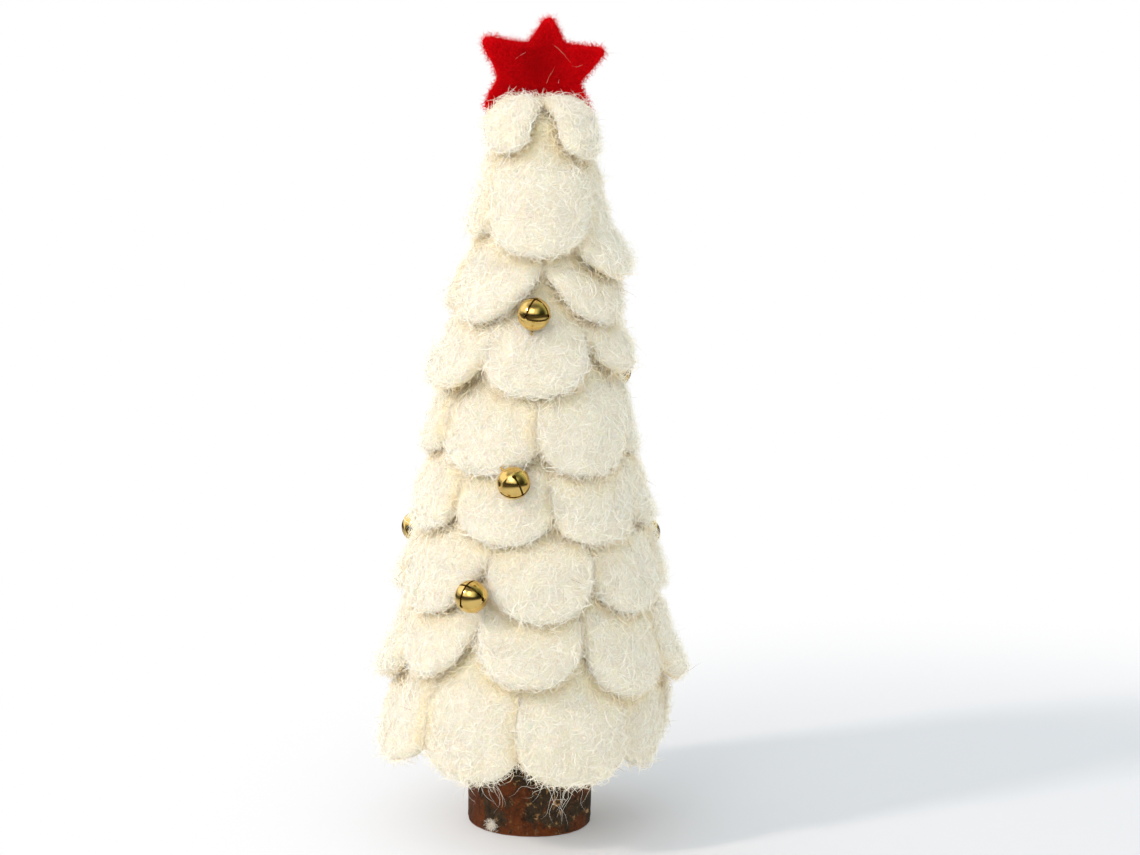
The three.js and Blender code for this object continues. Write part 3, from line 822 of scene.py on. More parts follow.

# %% [markdown]
# Real petals aren't set square. Every second petal of a row rides a little higher than its
# neighbours, and its edges lie on theirs. Some petals lean, some roll, and some stand out further
# from the cone than others. Those that show in front are set against the photograph, each under its
# row and its number, and the rest get small leans from a fixed random list. turn is in degrees round
# the cone, and slant in degrees about the petal's own middle. roll, out, lift, drop and reach_up are
# in millimetres: how far one side is raised, how far the tip stands out, how far the free half is
# raised, how much lower the tip hangs and how much further up the hidden top reaches. level is 1 for
# a petal that lies on its neighbours and 0 for one that lies under them. narrow is a share of the
# usual width.

# %% How single petals lie
looks = {
    (1, 1): {"turn": 1, "slant": -36, "level": 0.5, "narrow": 0.84, "drop": 1.4},
    (1, 2): {"turn": 10, "slant": 34, "level": 0.3, "narrow": 0.86, "drop": -0.6},
    (1, 3): {"turn": 3, "slant": -8, "narrow": 1.05, "drop": -1.5, "lift": -1.5},
    (1, 4): {"turn": 8, "slant": 8, "narrow": 1.05, "level": 0, "drop": -1.5, "lift": -1.0},
    (2, 1): {"turn": 4, "slant": 1, "level": 1, "drop": 1.8, "narrow": 1.34, "out": -1.0, "reach_up": 3.0},
    (2, 2): {"slant": 10, "out": 6.5, "roll": 0.6, "drop": 4.0, "lift": -2.2},
    (2, 5): {"slant": -2, "out": 0.5, "level": 0, "lift": -2.2},
    (3, 1): {"turn": -8, "slant": -36, "roll": 0.5, "narrow": 0.94, "drop": 3.0},
    (3, 2): {"turn": 8, "slant": 33, "level": 0.6, "narrow": 0.94, "drop": 3.0},
    (3, 3): {"slant": 9, "level": 0}, (3, 5): {"slant": -9, "out": 1.0}, (3, 4): {"level": 1},
    (4, 1): {"turn": -2, "slant": 2, "level": 1, "reach_up": 12.0, "narrow": 1.18, "drop": 2.0, "out": -1.0},
    (4, 2): {"turn": 4, "slant": 30, "level": 0.6, "narrow": 0.9, "drop": -3.0, "lift": -2.4, "out": 4.0},
    (4, 6): {"turn": -4, "slant": -27, "level": 1, "drop": 1.8, "lift": -1.4, "out": 6.0},
    (4, 5): {"level": 0},
    (5, 1): {"turn": -2, "roll": 0.5, "level": 0, "drop": 3.4, "reach_up": 6.0, "narrow": 1.1},
    (5, 2): {"roll": -0.3, "level": 1, "drop": 3.0, "reach_up": 6.0},
    (5, 3): {"out": -1.0, "lift": -2.5}, (5, 6): {"out": 1.0},
    (6, 1): {"roll": -0.6, "slant": 2, "level": 0, "drop": 2.4, "narrow": 1.06, "out": -0.6},
    (6, 2): {"level": 1, "drop": 2.4, "out": -0.8}, (6, 3): {"lift": -1.5},
    (6, 6): {"out": 1.5}, (6, 7): {"turn": -2, "slant": -22, "out": 1.0, "level": 0},
    (7, 1): {"level": 1}, (7, 2): {"roll": 0.3, "slant": 6}, (7, 6): {"out": 2.5},
    (7, 7): {"turn": -6, "slant": -36, "level": 1, "reach_up": 6.0, "narrow": 0.94, "drop": 3.0},
    (8, 1): {"turn": -1.5, "level": 1, "drop": 2.0, "reach_up": 7.0, "narrow": 1.05, "out": -1.4},
    (8, 2): {"turn": 3, "roll": 0.5, "slant": 11, "out": -1.2}, (8, 3): {"out": 1.5},
    (8, 7): {"out": 2.5, "level": 0},
    (8, 8): {"turn": -5, "slant": -33, "level": 1, "drop": -0.5, "reach_up": 7.0, "narrow": 0.94,
             "out": -0.8},
    (9, 1): {"turn": -4, "roll": -0.2, "level": 1, "narrow": 1.08, "drop": 2.2},
    (9, 8): {"turn": -4, "roll": -0.5, "level": 0, "drop": 2.2, "reach_up": 7.0},
    (9, 2): {"out": -3.0, "level": 0, "lift": -2.5}, (9, 3): {"out": -5.5}, (9, 6): {"out": 3.5},
    (9, 7): {"turn": -2, "out": 4.0, "level": 0},
}
chance = np.random.default_rng(24)
edge_rounding = 3.8 * mm
inner_rounding = 1.4 * mm
level_rise = 0.7 * mm
crowned = 0.7 * mm
edge_wobble = 0.35 * mm
edge_wobble_size = 7 * mm


def usual_look(row, number):
    """What a petal does where nothing is set: every second one lies on its neighbours."""
    on_top = number % 2 == 1 and number != row["count"]
    return {"turn": 0.0, "slant": chance.uniform(-3, 3), "roll": chance.uniform(-0.4, 0.4),
            "level": 1 if on_top else 0, "out": 0.0, "lift": 0.0, "drop": 1.6, "reach_up": 0.0,
            "narrow": 1.0}


def turn_of(row, number):
    """A petal's place round the cone in degrees from the front, between -180 and 180."""
    degrees = row["turn"] + 360 / row["count"] * (number - 1)
    return (degrees + 180) % 360 - 180


def polygon_area(outline):
    after = np.roll(outline, -1, axis=0)
    return abs(np.sum(outline[:, 0] * after[:, 1] - after[:, 0] * outline[:, 1])) / 2


def surface_area(points, faces):
    """The area of faces with three or four corners."""
    total = 0.0
    for face in faces:
        corners = points[list(face)]
        if len(face) == 3:
            total += np.linalg.norm(np.cross(corners[1] - corners[0], corners[2] - corners[0])) / 2
        else:
            total += np.linalg.norm(np.cross(corners[2] - corners[0], corners[3] - corners[1])) / 2
    return total


def declare_sheet(outline, laid_area):
    """How much a felt piece's outline would be scaled to give its flat cut. Bent over the cone it is
    a little larger than its outline, so the cut is the outline scaled to the area of the laid felt's
    middle. The scale is worked out and not kept."""
    growth = math.sqrt(laid_area / polygon_area(outline))


class Petal:
    """One petal's flat outline, and how it is laid on the cone."""

    def __init__(self, row, number):
        self.row, self.number = row, number
        self.look = usual_look(row, number) | looks.get((row["number"], number), {})
        self.tip = tip_way(row, number) + self.look["drop"] * mm
        outline, self.middle_way = petal_outline(row, self.tip, self.look["reach_up"] * mm)
        self.slant = math.radians(self.look["slant"])
        self.seed = row["number"] * 10 + number
        self.turn = math.radians(turn_of(row, number) + self.look["turn"])
        self.centre = np.array([0.0, self.middle_way])
        outline[:, 0] *= self.look["narrow"]
        wobble = lumps(np.column_stack([outline, np.zeros(len(outline))]), edge_wobble_size, self.seed)
        self.outline = outline + inward(outline) * (edge_wobble * (1 + wobble))[:, None]
        self.edge_way, self.edge_angle = self.spread(np.vstack([self.outline, self.outline[:1]]))[:2]

    def spread(self, points):
        """Where flat points lie: the way down the cone, the angle round it and the share of width."""
        off = points - self.centre
        across = off[:, 0] * math.cos(self.slant) + off[:, 1] * math.sin(self.slant)
        down = off[:, 1] * math.cos(self.slant) - off[:, 0] * math.sin(self.slant)
        way = np.maximum(self.middle_way + down, 0.5 * mm)
        width, reach = half_width(self.row, way)
        return way, self.turn + across / reach, np.clip(across / width, -1, 1)

    def laid(self, points):
        """Where flat points of the felt's middle lie in the tree's own space."""
        row, look, tip = self.row, self.look, self.tip
        way, angle, side_share = self.spread(points)
        offset, _ = felt_middle(row, way, tip)
        free = eased(way, row["covered"] - tuck_length, row["covered"] + 2 * tuck_length)
        offset = offset + free * (look["roll"] * mm * side_share + look["level"] * level_rise
                                  + look["lift"] * mm + crowned * (1 - side_share**2))
        offset = offset + look["out"] * mm * progress(way, tip - 1.6 * flare_length, tip) ** 2
        return on_cone(way, angle, offset), way, angle


plans = {row["number"]: [Petal(row, n + 1) for n in range(row["count"])] for row in rows}

# %% [markdown]
# Felt is flattest where it disappears under the row above, and there a painted shade of warm tan
# goes into its colour. It swells and shows its fibres where it comes out. So each point of a petal
# has to know how far it lies from its own edge, from its neighbours' edges and from the edge of the
# row above. Search trees of the outlines, laid on the cone, answer that.

# %% Edges of the rows
edge_bins = 1440


def bin_of(angle):
    return (angle / (2 * math.pi) * edge_bins).astype(int) % edge_bins


def lower_edge(row_plans):
    """How far down a row's petals reach at each angle round the cone."""
    reach = np.zeros(edge_bins)
    for plan in row_plans:
        steps = np.linspace(0, len(plan.edge_way) - 1, 4000)
        order = np.arange(len(plan.edge_way))
        way = np.interp(steps, order, plan.edge_way)
        np.maximum.at(reach, bin_of(np.interp(steps, order, plan.edge_angle)), way)
    return reach


def tree_of(row_plans):
    """A search tree of the outlines of some petals, laid flat on the cone."""
    found = KDTree(sum(len(plan.edge_way) for plan in row_plans))
    places = np.vstack([on_cone(plan.edge_way, plan.edge_angle) for plan in row_plans])
    for i, place in enumerate(places):
        found.insert(place, i)
    found.balance()
    return found


def distances(found, places):
    return np.array([found.find(place)[2] for place in places])


lower_edges = {number: lower_edge(row_plans) for number, row_plans in plans.items()}
edge_trees = {number: tree_of(row_plans) for number, row_plans in plans.items()}


def below_the_row_above(row, way, angle):
    """How far down each point lies from the edge of the row above, and how far from it in all."""
    if row["number"] == 1:
        well_clear = np.full(len(way), 10 * mm)
        return well_clear, well_clear
    above = row["number"] - 1
    shown = way - lower_edges[above][bin_of(angle)]
    return shown, distances(edge_trees[above], on_cone(way, angle))


# %% [markdown]
# Where a bell's thread enters the felt, the stitch gathers the wool round it to a little heap.

# %% Stitches
gathered_radius = 2.4 * mm
stitches = [(np.array(low) + np.array(high)) / 2
            for low, high in (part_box(f"bell{number}_thread") for number in range(1, 9))]


def near_stitches(places):
    """1 at the place where a bell's thread enters the felt and 0 a few millimetres away."""
    away = [np.linalg.norm(places - stitch, axis=1) for stitch in stitches]
    return np.exp(-((np.min(away, axis=0) / gathered_radius) ** 2))


# %% [markdown]
# Now the petals are made. Each one is a pillow of felt over its outline. Three attributes go with
# it: one that paints the shade of creases into the felt's colour, fluff, which says where loose wool
# grows and how thickly, and hanging, which is 1 where long hairs hang down over the trunk. The three
# heights below are in millimetres.

# %% Make the petals
crease_shade_start = 1.2 * mm
crease_shade_width = 2.8 * mm
groove_width = 1.7 * mm
groove_reach = 3 * mm
puff = 1.5 * mm
puff_reach = 2.2 * mm
emerging = 1.5 * mm
large_lump = 6.5 * mm
small_lump = 2.4 * mm
large_lump_height = 0.34
small_lump_height = 0.2
gathered_height = 1.7
edge_fluff = 1.5 * mm
flatter_tip = 9 * mm
fluffy_tip = 5 * mm
hanging_tip = 3 * mm
trunk_reach = 16 * mm


def felt_normals(plan, flat, way, angle):
    """Which way the middle of the felt faces at each flat point, on the side away from the cone."""
    step = 0.2 * mm
    along_x = plan.laid(flat + [step, 0])[0] - plan.laid(flat - [step, 0])[0]
    along_s = plan.laid(flat + [0, step])[0] - plan.laid(flat - [0, step])[0]
    normal = np.cross(along_s, along_x)
    normal /= np.linalg.norm(normal, axis=1)[:, None]
    outward = on_cone(way, angle, mm) - on_cone(way, angle)
    return normal * np.sign(np.sum(normal * outward, axis=1))[:, None]


def beside_the_star(row, number, vertices):
    """Keeps the top row's felt clear of the star, which stands between its petals."""
    facing = -1 if abs(turn_of(row, number)) < 90 else 1
    beside_star = vertices[:, 2] > star_floor
    leaning = facing * np.maximum(facing * vertices[:, 1], star_clearance)
    return np.where(beside_star, leaning, vertices[:, 1])


def crease_shade_of(plan, height, shown, from_above, from_beside, from_edge):
    """How much shade is painted at each point: by how deep in a crease it lies, from 0 in the open
    to 1 under another petal, and on the inner face.
    """
    under = np.where(shown > 0, np.exp(-np.maximum(from_above - crease_shade_start, 0) / crease_shade_width), 1.0)
    groove = np.exp(-from_beside / groove_width) * 0.9
    near_beside = np.clip(1.6 - from_beside / groove_reach, 0, 1)
    rim_groove = np.exp(-from_edge / (0.6 * groove_width)) * near_beside * 0.55
    between = groove + (rim_groove - groove) * np.clip(plan.look["level"], 0, 1)
    inner_face = np.clip((0.2 - height) / 0.8, 0, 1) * 0.9
    return np.maximum(np.maximum(under, between), inner_face)


def fluff_of(open_share, height, from_edge, gathered, from_tip):
    """How thickly loose wool grows: most along the edges and at the stitches, and on the inner face
    only near the tip."""
    fluff = open_share * np.where(height > -0.3, 1.0 + 0.8 * np.exp(-from_edge / edge_fluff), 0.0)
    fluff = fluff * (1 + 2.5 * gathered)
    return np.maximum(fluff, np.where((from_tip < fluffy_tip) & (height <= -0.3), 0.5, 0.0))


def make_petal(plan):
    row, number, tip = plan.row, plan.number, plan.tip
    flat, height, rings = pillow(plan.outline, plan.centre, edge_rounding, inner_rounding)
    place, way, angle = plan.laid(flat)
    normal = felt_normals(plan, flat, way, angle)
    _, thickness = felt_middle(row, way, tip)
    vertices = place + normal * (height * thickness / 2)[:, None]

    shown, from_above = below_the_row_above(row, way, angle)
    open_share = np.where(shown > 0, 1.0, np.clip(1 - from_above / emerging, 0, 1))
    relief = (large_lump_height * lumps(vertices, large_lump, plan.seed)
              + small_lump_height * lumps(vertices, small_lump, plan.seed + 50))
    near_tip = progress(way, tip - flatter_tip, tip)
    fullness = (1 - np.exp(-from_above / puff_reach)) * (1 - 0.6 * near_tip)
    plump = puff * np.where(shown > 0, fullness, 0.0) * np.clip(height, 0, 1)
    gathered = near_stitches(vertices) * np.clip(height + 0.3, 0, 1)
    raised = relief * open_share * mm + plump + gathered * gathered_height * mm
    vertices = vertices + normal * raised[:, None]
    if row["number"] == 1:
        vertices[:, 1] = beside_the_star(row, number, vertices)

    on_side = on_cone(way, angle)
    row_plans = plans[row["number"]]
    beside = tree_of([row_plans[number - 2], row_plans[number % row["count"]]])
    from_edge = distances(tree_of([plan]), on_side)
    # Painted shade: warm tan under the row above, beside the neighbours' edges and on the inner face.
    painted_shade = crease_shade_of(plan, height, shown, from_above, distances(beside, on_side), from_edge)
    fluff = fluff_of(open_share, height, from_edge, gathered, tip - way)
    lowest_row = row["number"] == len(rows)
    over_trunk = lowest_row & (tip - way < hanging_tip) & (np.abs(vertices[:, 0]) < trunk_reach)

    faces = ring_faces(rings, len(plan.outline))
    piece = new_piece(f"felt_row{row['number']}_petal{number}", vertices, faces, cream_felt,
                      {"painted_shade": painted_shade, "fluff": fluff, "hanging": np.where(over_trunk, 1.0, 0.0)})
    front = abs(turn_of(row, number)) <= front_limit
    node = f"petal_row{row['number']}_{number}" if front else f"petals_row{row['number']}_rear"
    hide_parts(node)
    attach(piece, "tree")
    outer_faces = [face for face in faces if min(height[v] for v in face) > -0.001]
    declare_sheet(plan.outline, surface_area(place, outer_faces))
    return piece


petals = {number: [make_petal(plan) for plan in row_plans] for number, row_plans in plans.items()}
print("petals:", sum(len(v) for v in petals.values()), "triangles in one:", triangles([petals[5][0]]))

# %% [markdown]
# The felt disc under the cone is cut from the same felt. It is a ring round the dowel, with a soft
# outer edge. Its section is drawn once and turned round the middle.


# %% Felt disc
def make_disc():
    low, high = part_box("base_disc")
    dowel_low, dowel_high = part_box("trunk_dowel")
    hole = (dowel_high[0] - dowel_low[0]) / 2 + clearance
    outer = (high[0] - low[0]) / 2
    half = (high[2] - low[2]) / 2
    middle = (high[2] + low[2]) / 2
    edge = [math.pi / 2 * (1 - j / 4) for j in range(9)]
    flat_steps = np.linspace(outer - half, hole, 9)[1:-1]
    profile = [(hole, half)] + [(r, half) for r in flat_steps[::-1]]
    profile += [(outer - half * (1 - math.cos(turn)), half * math.sin(turn)) for turn in edge]
    profile += [(r, -half) for r in flat_steps] + [(hole, -half)]
    turns, count = 96, len(profile)
    vertices = np.array([(r * math.cos(t), r * math.sin(t), middle + z)
                         for r, z in profile for t in around(turns)])
    faces = [(k * turns + i, k * turns + (i + 1) % turns, (k + 1) % count * turns + (i + 1) % turns,
              (k + 1) % count * turns + i) for k in range(count) for i in range(turns)]
    down = np.clip((middle - vertices[:, 2]) / half, 0, 1)
    vertices[:, 2] += 0.2 * mm * lumps(vertices, 6 * mm, 3)
    # Painted shade: the whole disc is tinted a quarter of the way to the warm tan shade tone, as it lies
    # under the cone.
    piece = new_piece("felt_disc", vertices, faces, cream_felt,
                      {"painted_shade": np.full(len(vertices), 0.25), "fluff": down * 0.7})
    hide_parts("base_disc")
    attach(piece, "tree")
    return piece


felt_disc = make_disc()

# %% [markdown]
# The star is cut from thick red felt with scissors. Its points are blunt and its edges soft, so it
# is made as the petals are, from an outline and rings.

# %% Star
blunting = 4.6 * mm
star_rounding = 1.4 * mm
star_shade_reach = 18 * mm


def softened(points, cut):
    """Each corner of an outline replaced by a short curve, shorter at the inner corners."""
    curved = []
    for i, corner in enumerate(points):
        before, after = points[i - 1], points[(i + 1) % len(points)]
        size = cut if i % 2 == 0 else cut * 0.4
        enter = corner + (before - corner) / np.hypot(*(before - corner)) * size
        leave = corner + (after - corner) / np.hypot(*(after - corner)) * size
        for t in np.linspace(0, 1, 8):
            curved.append((1 - t) ** 2 * enter + 2 * t * (1 - t) * corner + t**2 * leave)
    return np.array(curved)


def make_star():
    corners = np.array(star_shares) * star_radius
    outline = even_outline(softened(corners, blunting)[::-1], 180)
    centre = np.array([0.0, 0.0])
    wobble = lumps(np.column_stack([outline, np.zeros(len(outline))]), 4 * mm, 91)
    outline = outline + inward(outline) * (0.25 * mm * wobble - 0.1 * mm)[:, None]
    flat, height, rings = pillow(outline, centre, star_rounding, star_rounding)
    vertices = np.column_stack([flat[:, 0] - star_shift, -height * star_thickness / 2,
                                star_centre_height + flat[:, 1]])
    relief = 0.3 * lumps(vertices, 5 * mm, 92) + 0.1 * lumps(vertices, 1.8 * mm, 93)
    vertices[:, 1] += relief * mm
    # Painted shade: the star's felt darkens towards its middle.
    painted_shade = np.clip(0.7 - np.hypot(*flat.T) / star_shade_reach, 0, 1)
    piece = new_piece("felt_star", vertices, ring_faces(rings, len(outline)), red_felt,
                      {"painted_shade": painted_shade, "fluff": np.ones(len(flat))})
    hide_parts("star")
    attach(piece, "tree")
    float(polygon_area(outline))
    return piece


felt_star = make_star()
print("star width in mm:", round(felt_star.dimensions[0] / mm, 1))

# %% [markdown]
# Loose fibres make felt look like felt. Geometry Nodes scatter them: points are spread over the
# petals of a row, thickest where an attribute says that the wool is bare, and each point gets one
# of three fibres, one straight and two bent, leaning its own way. The result is baked to a plain
# mesh.


# %% Helpers for fibres
def nodes_for(name, inputs):
    """A new Geometry Nodes tree with these inputs, and its input sockets by name."""
    tree = bpy.data.node_groups.new(name, "GeometryNodeTree")
    tree.interface.new_socket("Geometry", in_out="INPUT", socket_type="NodeSocketGeometry")
    for label, kind in inputs.items():
        tree.interface.new_socket(label, in_out="INPUT", socket_type=f"NodeSocket{kind}")
    tree.interface.new_socket("Geometry", in_out="OUTPUT", socket_type="NodeSocketGeometry")
    graph = Graph(tree)
    source = graph.add("NodeGroupInput")
    return graph, {socket.name: socket for socket in source.outputs if socket.name}


def random_number(graph, low, high, seed, kind="FLOAT"):
    """A Random Value node has sockets for every kind of value, so they are picked by number."""
    low_input, high_input, output = {"FLOAT": (2, 3, 1), "INT": (4, 5, 2)}[kind]
    inputs = {low_input: low, high_input: high, "Seed": seed}
    return graph.add("FunctionNodeRandomValue", {"data_type": kind}, inputs).outputs[output]


def way_along(graph):
    """0 at a curve's start and 1 at its end."""
    return graph.number("GeometryNodeSplineParameter", output="Factor")


def pointed_tube(graph, line, width):
    """A three-sided closed tube along a curve that comes to a point at its end."""
    way = way_along(graph)
    ring = graph.add("GeometryNodeCurvePrimitiveCircle", None, {"Resolution": 3, "Radius": 1.0})
    inputs = {"Curve": line, "Profile Curve": ring.outputs[0], "Scale": (1 - way) ** 0.7 * width,
              "Fill Caps": True}
    tube = graph.add("GeometryNodeCurveToMesh", None, inputs)
    inputs = {"Geometry": tube.outputs[0], "Distance": 1e-6}
    return graph.add("GeometryNodeMergeByDistance", None, inputs).outputs[0]


def scattered(graph, given, density):
    """Points spread over the given mesh, as dense per area as an attribute and an input say."""
    bare = graph.number("GeometryNodeInputNamedAttribute", None, {"Name": density})
    return graph.add("GeometryNodeDistributePointsOnFaces", {"distribute_method": "RANDOM"},
                     {"Mesh": given["Geometry"], "Density": bare * given["Per Area"], "Seed": given["Seed"]})


def leaning(graph, rotation, lean_low, lean_high):
    """A rotation that leans by a random angle towards a random side."""
    tilt = graph.add("ShaderNodeCombineXYZ", None, {
        0: random_number(graph, lean_low, lean_high, 3), 2: random_number(graph, 0.0, 2 * math.pi, 5)})
    turn = graph.add("FunctionNodeEulerToRotation", None, {0: tilt.outputs[0]})
    laid = graph.add("FunctionNodeRotateRotation", {"rotation_space": "LOCAL"},
                     {"Rotation": rotation, "Rotate By": turn.outputs[0]})
    return laid.outputs[0]


def toned(graph, sown):
    """Instances made real, each with a random number that picks its tone."""
    settings = {"data_type": "FLOAT", "domain": "INSTANCE"}
    inputs = {"Geometry": sown.outputs[0], "Name": "tint", "Value": random_number(graph, 0.0, 1.0, 8)}
    marked = graph.add("GeometryNodeStoreNamedAttribute", settings, inputs)
    return graph.add("GeometryNodeRealizeInstances", None, {"Geometry": marked.outputs[0]}).outputs[0]


def painted(graph, given, geometry):
    """Gives the geometry its material and makes it the tree's result."""
    inputs = {"Geometry": geometry, "Material": given["Material"]}
    coated = graph.add("GeometryNodeSetMaterial", None, inputs)
    graph.feed(graph.add("NodeGroupOutput").inputs[0], coated.outputs[0])
    return graph.tree


# %% [markdown]
# A short fibre is a thin tube along a Bezier curve, drawn once at unit length. It starts a little
# under the surface, so that it grows out of the felt. An instance of it on each point, scaled and
# turned there, costs no more nodes for a thousand fibres than for one.

# %% A tree that scatters short fibres
sizes_of_both = {"Per Area": "Float", "Length": "Float", "Width": "Float", "Lean Low": "Float",
                 "Lean High": "Float"}
fibre_bends = [
    {"Resolution": 1, "Middle": (0.0, 0.0, 0.5), "End": (0.15, 0.0, 1.0)},
    {"Resolution": 2, "Middle": (0.0, 0.2, 0.55), "End": (0.4, 0.1, 0.85)},
    {"Resolution": 2, "Middle": (-0.1, 0.35, 0.6), "End": (0.6, -0.1, 0.7)},
]


def fibre_tree():
    graph, given = nodes_for("felt_fibres", {**sizes_of_both, "Seed": "Int", "Material": "Material"})
    spread = scattered(graph, given, "fluff")
    join = graph.add("GeometryNodeJoinGeometry")
    slim = Value(graph, given["Width"]) / given["Length"]
    for bend in fibre_bends:
        line = graph.add("GeometryNodeCurveQuadraticBezier", None, {"Start": (0, 0, -0.05), **bend})
        tube = pointed_tube(graph, line.outputs[0], slim)
        shape = graph.add("GeometryNodeGeometryToInstance", None, {"Geometry": tube})
        graph.tree.links.new(shape.outputs[0], join.inputs[0])
    size = Value(graph, random_number(graph, 0.45, 1.3, 6)) * given["Length"]
    sown = graph.add("GeometryNodeInstanceOnPoints", None, {
        "Points": spread.outputs["Points"], "Instance": join.outputs[0], "Pick Instance": True,
        "Instance Index": random_number(graph, 0, 2, 7, "INT"),
        "Rotation": leaning(graph, spread.outputs["Rotation"], given["Lean Low"], given["Lean High"]),
        "Scale": size})
    return painted(graph, given, toned(graph, sown))


# %% [markdown]
# Long hairs need more bends than a short fibre, and no two may curl alike. So each starts as a
# straight line, and once it is in place a noise pushes its points aside, more and more towards its
# end. A pull straight down lets it sag.


# %% A tree that grows long curly hairs
curl_scale = 170.0


def hair_tree():
    graph, given = nodes_for("curly_hairs", {**sizes_of_both, "Curl": "Float", "Sag": "Float",
                                             "Steps": "Int", "Seed": "Int", "Attribute": "String",
                                             "Material": "Material"})
    spread = scattered(graph, given, given["Attribute"])
    line = graph.add("GeometryNodeCurvePrimitiveLine", None, {"Start": (0, 0, 0), "End": (0, 0, 1)})
    strand = graph.add("GeometryNodeResampleCurve", None, {"Curve": line.outputs[0], "Count": given["Steps"]})
    sown = graph.add("GeometryNodeInstanceOnPoints", None, {
        "Points": spread.outputs["Points"], "Instance": strand.outputs[0],
        "Rotation": leaning(graph, spread.outputs["Rotation"], given["Lean Low"], given["Lean High"]),
        "Scale": Value(graph, random_number(graph, 0.4, 1.3, 6)) * given["Length"]})
    real = toned(graph, sown)
    way = way_along(graph)
    wave = graph.add("ShaderNodeTexNoise", {"noise_dimensions": "3D"},
                     {"Scale": curl_scale, "Detail": 1.0, "Roughness": 0.5})
    swing = graph.add("ShaderNodeVectorMath", {"operation": "SUBTRACT"},
                      {0: wave.outputs["Color"], 1: (0.5, 0.5, 0.5)})
    push = graph.add("ShaderNodeVectorMath", {"operation": "SCALE"},
                     {0: swing.outputs[0], "Scale": way * given["Curl"]})
    hung = graph.add("ShaderNodeCombineXYZ", None, {2: 0 - way * way * given["Sag"]})
    moved = graph.add("ShaderNodeVectorMath", {"operation": "ADD"}, {0: push.outputs[0], 1: hung.outputs[0]})
    curled = graph.add("GeometryNodeSetPosition", None, {"Geometry": real, "Offset": moved.outputs[0]})
    return painted(graph, given, pointed_tube(graph, curled.outputs[0], given["Width"]))


felt_fibres = fibre_tree()
curly_hairs = hair_tree()


# %% [markdown]
# A node tree works on an object as a modifier. Here it works on a copy of the felt, and what it
# makes is kept as a plain mesh, so that grown wool is a piece like any other.


# %% Growing and baking
def joined_copy(pieces):
    """One loose mesh with the geometry and attributes of several pieces."""
    shaped = bmesh.new()
    for piece in pieces:
        shaped.from_mesh(piece.data)
    return mesh_from(shaped, "ground")


def grown(name, pieces, tree, material, settings):
    """What a node tree makes of some pieces, baked to a plain piece of its own."""
    ground = joined_copy(pieces)
    wool_piece = put(name, ground)
    modifier = wool_piece.modifiers.new("nodes", "NODES")
    modifier.node_group = tree
    for socket in tree.interface.items_tree:
        if socket.in_out == "INPUT" and socket.name in settings:
            modifier[socket.identifier] = settings[socket.name]
        if socket.in_out == "INPUT" and socket.name == "Material":
            modifier[socket.identifier] = material
    bpy.context.view_layer.update()
    graph = bpy.context.evaluated_depsgraph_get()
    baked = bpy.data.meshes.new_from_object(wool_piece.evaluated_get(graph))
    wool_piece.modifiers.remove(modifier)
    wool_piece.data = baked
    baked.name = name
    baked.materials.clear()
    baked.materials.append(material)
    bpy.data.meshes.remove(ground)
    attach(wool_piece, "tree")
    return wool_piece


# %% [markdown]
# Each row of petals gets short fuzz that stands out and makes the soft edge, and longer fibres that
# lie along the surface. The star gets the same in red, and the disc gets fuzz alone. A lean is in
# radians from straight up, and Per Area counts points per square metre.

# %% Fibres on the petals, the star and the disc
thinned = 1.0
standing = {"Lean Low": 0.2, "Lean High": 1.4}
lying = {"Lean Low": 1.2, "Lean High": 1.62}
petal_fuzz = {"Length": 2.1 * mm, "Width": 0.06 * mm, **standing}
petal_fibres = {"Length": 4.8 * mm, "Width": 0.105 * mm, **lying}
star_kinds = {
    "fuzz": {"Length": 2.3 * mm, "Width": 0.06 * mm, **standing},
    "fibres": {"Length": 2.6 * mm, "Width": 0.07 * mm, **lying},
}
grown_pieces = []
for number, pieces in petals.items():
    kinds = {"fuzz": {"Per Area": 0.68e6, **petal_fuzz}, "fibres": {"Per Area": 0.62e6, **petal_fibres}}
    for kind, settings in kinds.items():
        settings["Seed"] = number * 3 + len(kind)
        settings["Per Area"] *= thinned
        piece = grown(f"{kind}_row{number}", pieces, felt_fibres, cream_fibre, settings)
        grown_pieces.append(piece)
for kind, settings in star_kinds.items():
    settings["Seed"] = 40 + len(kind)
    settings["Per Area"] = 2.8e6 * thinned
    piece = grown(f"{kind}_star", [felt_star], felt_fibres, red_fibre, settings)
    grown_pieces.append(piece)
settings = {"Per Area": 0.4e6 * thinned, "Seed": 50, **petal_fuzz}
fluffy_disc = grown("fuzz_disc", [felt_disc], felt_fibres, cream_fibre, settings)
grown_pieces.append(fluffy_disc)
for piece in grown_pieces:
    print(piece.name, triangles([piece]))

# %% [markdown]
# Wool sheds: more than a thousand longer hairs stand off the felt in loose curls, some of them tan
# or brown. Some seventy others hang from the lowest tips, down in front of the trunk.

